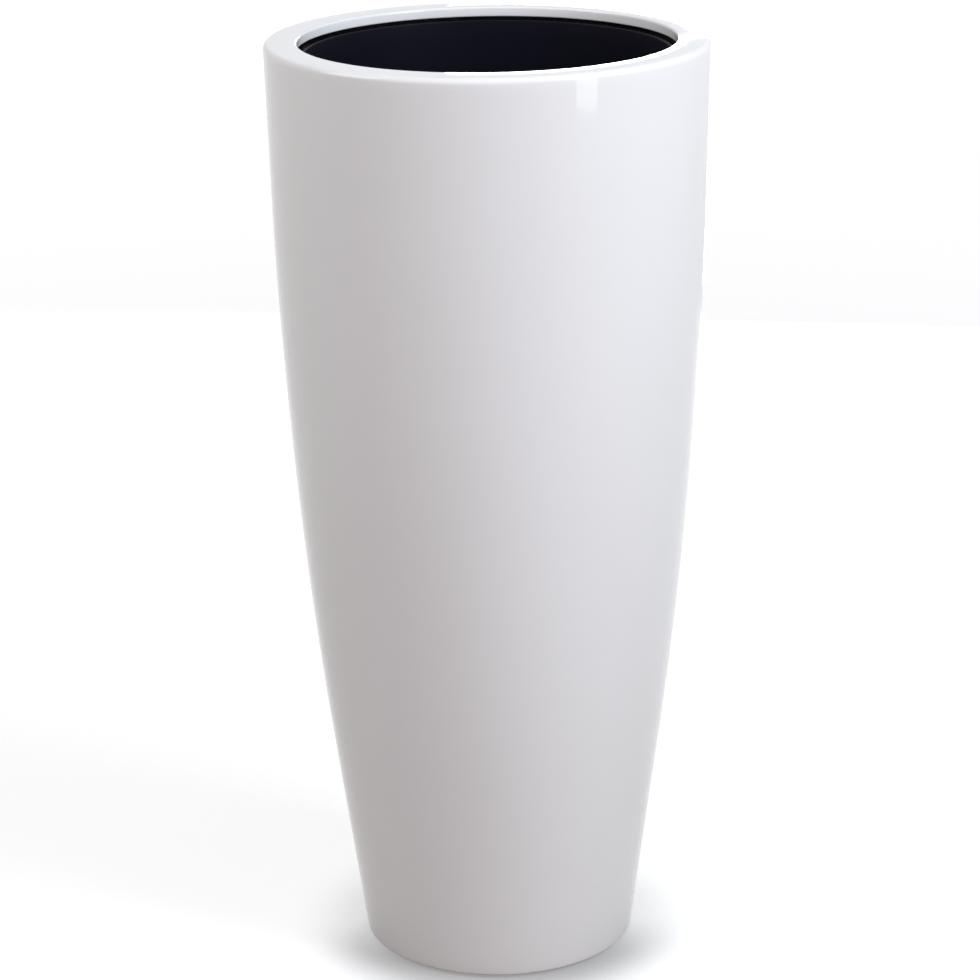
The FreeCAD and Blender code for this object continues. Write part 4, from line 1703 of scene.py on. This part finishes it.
@dataclass
class Studio:
    """Floor, world, lamps and camera."""

    camera_place: tuple[float, float, float] = (-0.0030, -2.5268, 1.2351)
    camera_dip: float = math.radians(18.135)
    camera_roll: float = math.radians(-0.823)
    lens: float = 113.05
    floor_size: float = 16.0
    floor_colour: Colour = (0.180, 0.135, 0.105)
    floor_white: float = 0.40
    glow_near: float = 0.70
    glow_far: float = 0.92
    # A painted contact shadow on the floor: its reach, its depth in front and behind, and the band in Y where
    # one changes to the other.
    painted_shadow_reach: float = 0.078
    painted_shadow_depth: float = 0.57
    painted_back_shadow_depth: float = 0.22
    painted_shadow_band: tuple[float, float] = (-0.09, 0.01)
    glow_band: tuple[float, float] = (0.4, 4.5)
    sky_tint: Colour = (0.975, 0.935, 1.0)
    glows: tuple[Glow, ...] = (Glow((0.0, -1.0, 0.0), 1.22), Glow((0.0, 1.0, 0.0), 0.16))
    lamps: tuple[SoftBox, ...] = (
        SoftBox("tall_soft_box", 48.7, 2.0, 1.36, 1.36, (0.39, 2.06), 8.4),
        SoftBox("left_soft_box", -80.0, 2.0, 2.1, 0.6, (1.2, 1.2), 21.0),
        SoftBox("right_soft_box", 60.0, 2.0, 2.3, 0.7, (1.0, 1.0), 48.0, (0.81, 0.89, 1.0)),
        SoftBox("back_soft_box", 172.0, 2.1, 0.6, 0.6, (0.7, 1.1), 27.0),
    )

    def build(self) -> None:
        """Builds everything that isn't the planter."""
        self.build_floor()
        self.build_world()
        for lamp in self.lamps:
            self.build_lamp(lamp)
        self.build_camera()

    def build_floor(self) -> None:
        """A pale floor that looks white to the camera, keeps the planter's shadow and adds a painted contact
        shadow.
        """
        shape = bmesh.new()
        bmesh.ops.create_grid(shape, x_segments=8, y_segments=8, size=self.floor_size / 2)
        floor = new_object("studio_floor", shape)
        material = bpy.data.materials.new("studio_floor")
        material.use_nodes = True
        graph = Graph(material.node_tree)
        graph.tree.nodes.remove(graph.tree.nodes["Principled BSDF"])
        out = graph.tree.nodes["Material Output"]
        place = graph.add("TexCoord").outputs["Object"]
        tone = graph.blend(graph.noise(place, 1.2, 2.0), self.floor_colour, toned(self.floor_colour, 0.97))
        matte = graph.add("BsdfDiffuse", Color=tone)
        # Painted contact shadow: ambient occlusion darkens the seen floor's pale colour and glow near the
        # planter, deeper in front (towards -Y) than behind.
        hidden = graph.add("AmbientOcclusion", samples=16, Distance=self.painted_shadow_reach)
        across = graph.add("SeparateXYZ", Vector=place).outputs["Y"]
        depth = graph.ramp(across, *self.painted_shadow_band, self.painted_shadow_depth, self.painted_back_shadow_depth)
        closed = graph.ramp(hidden.outputs["AO"], 0.5, 1.0, 1.0, 0.0)
        shade = graph.math("SUBTRACT", 1.0, graph.math("MULTIPLY", closed, depth))
        away = graph.add("VectorMath", operation="LENGTH")
        graph.feed(away, 0, place)
        level = graph.ramp(away.outputs["Value"], *self.glow_band, self.glow_near, self.glow_far)
        pale = graph.blend(shade, (0.0, 0.0, 0.0), (self.floor_white,) * 3)
        seen = graph.add("BsdfDiffuse", Color=pale)
        strength = graph.math("MULTIPLY", level, shade)
        glow = graph.add("Emission", Color=(1.0, 1.0, 1.0, 1.0), Strength=strength)
        both = graph.add("AddShader")
        graph.feed(both, 0, seen.outputs[0])
        graph.feed(both, 1, glow.outputs[0])
        graph.feed(out, "Surface", graph.by_ray(matte.outputs[0], both.outputs[0]))
        floor.data.materials.append(material)

    def build_world(self) -> None:
        """White where it is seen or mirrored; as light, broad glows from ahead and behind."""
        world = bpy.data.worlds.new("studio")
        bpy.context.scene.world = world
        world.use_nodes = True
        graph = Graph(world.node_tree)
        plain = graph.tree.nodes["Background"]
        way = graph.add("TexCoord").outputs["Generated"]
        level = 0.0
        for glow in self.glows:
            facing = graph.add("VectorMath", operation="DOT_PRODUCT")
            graph.feed(facing, 0, way)
            graph.feed(facing, 1, glow.towards)
            share = graph.math("MAXIMUM", facing.outputs["Value"], 0.0)
            level = graph.math("MULTIPLY_ADD", share, glow.level, level)
        graph.feed(plain, "Color", (*self.sky_tint, 1.0))
        graph.feed(plain, "Strength", level)
        white = graph.add("Background", Color=(1.0, 1.0, 1.0, 1.0), Strength=1.0)
        mixed = graph.by_ray(plain.outputs[0], white.outputs[0])
        graph.feed(graph.tree.nodes["World Output"], "Surface", mixed)

    def build_lamp(self, box: SoftBox) -> None:
        """Sets up one soft box, aimed at the planter's axis.

        Args:
            box: The soft box.
        """
        data = bpy.data.lights.new(box.name, "AREA")
        data.shape = "RECTANGLE"
        data.size, data.size_y = box.size
        data.energy = box.power
        data.color = box.colour
        lamp = bpy.data.objects.new(box.name, data)
        lamp.location = box.place
        lamp.rotation_mode = "QUATERNION"
        lamp.rotation_quaternion = (Vector((0.0, 0.0, box.aim_height)) - box.place).to_track_quat("-Z", "Y")
        bpy.context.scene.collection.objects.link(lamp)

    def build_camera(self) -> None:
        """The camera at the photograph's viewing angle."""
        data = bpy.data.cameras.new("camera")
        data.lens = self.lens
        data.clip_start = 0.05
        data.clip_end = 100.0
        camera = bpy.data.objects.new("camera", data)
        dip = Matrix.Rotation(math.pi / 2 - self.camera_dip, 4, "X")
        roll = Matrix.Rotation(self.camera_roll, 4, "Z")
        camera.matrix_world = Matrix.Translation(self.camera_place) @ dip @ roll
        bpy.context.scene.collection.objects.link(camera)
        bpy.context.scene.camera = camera


def main() -> None:
    """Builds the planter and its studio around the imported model."""
    logging.basicConfig(level=logging.INFO, format="%(name)s: %(message)s")
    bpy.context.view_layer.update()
    bpy.context.scene.view_settings.view_transform = "Standard"
    Studio().build()
    finishes = Finishes()
    Shell(finishes).build()
    DrainBung(finishes).build()
    PlantingShelf(finishes).build()
    liner = Liner(finishes)
    liner.build()
    for side in Side:
        HandleSet(finishes, side, liner).build()


if __name__ == "__main__":
    main()
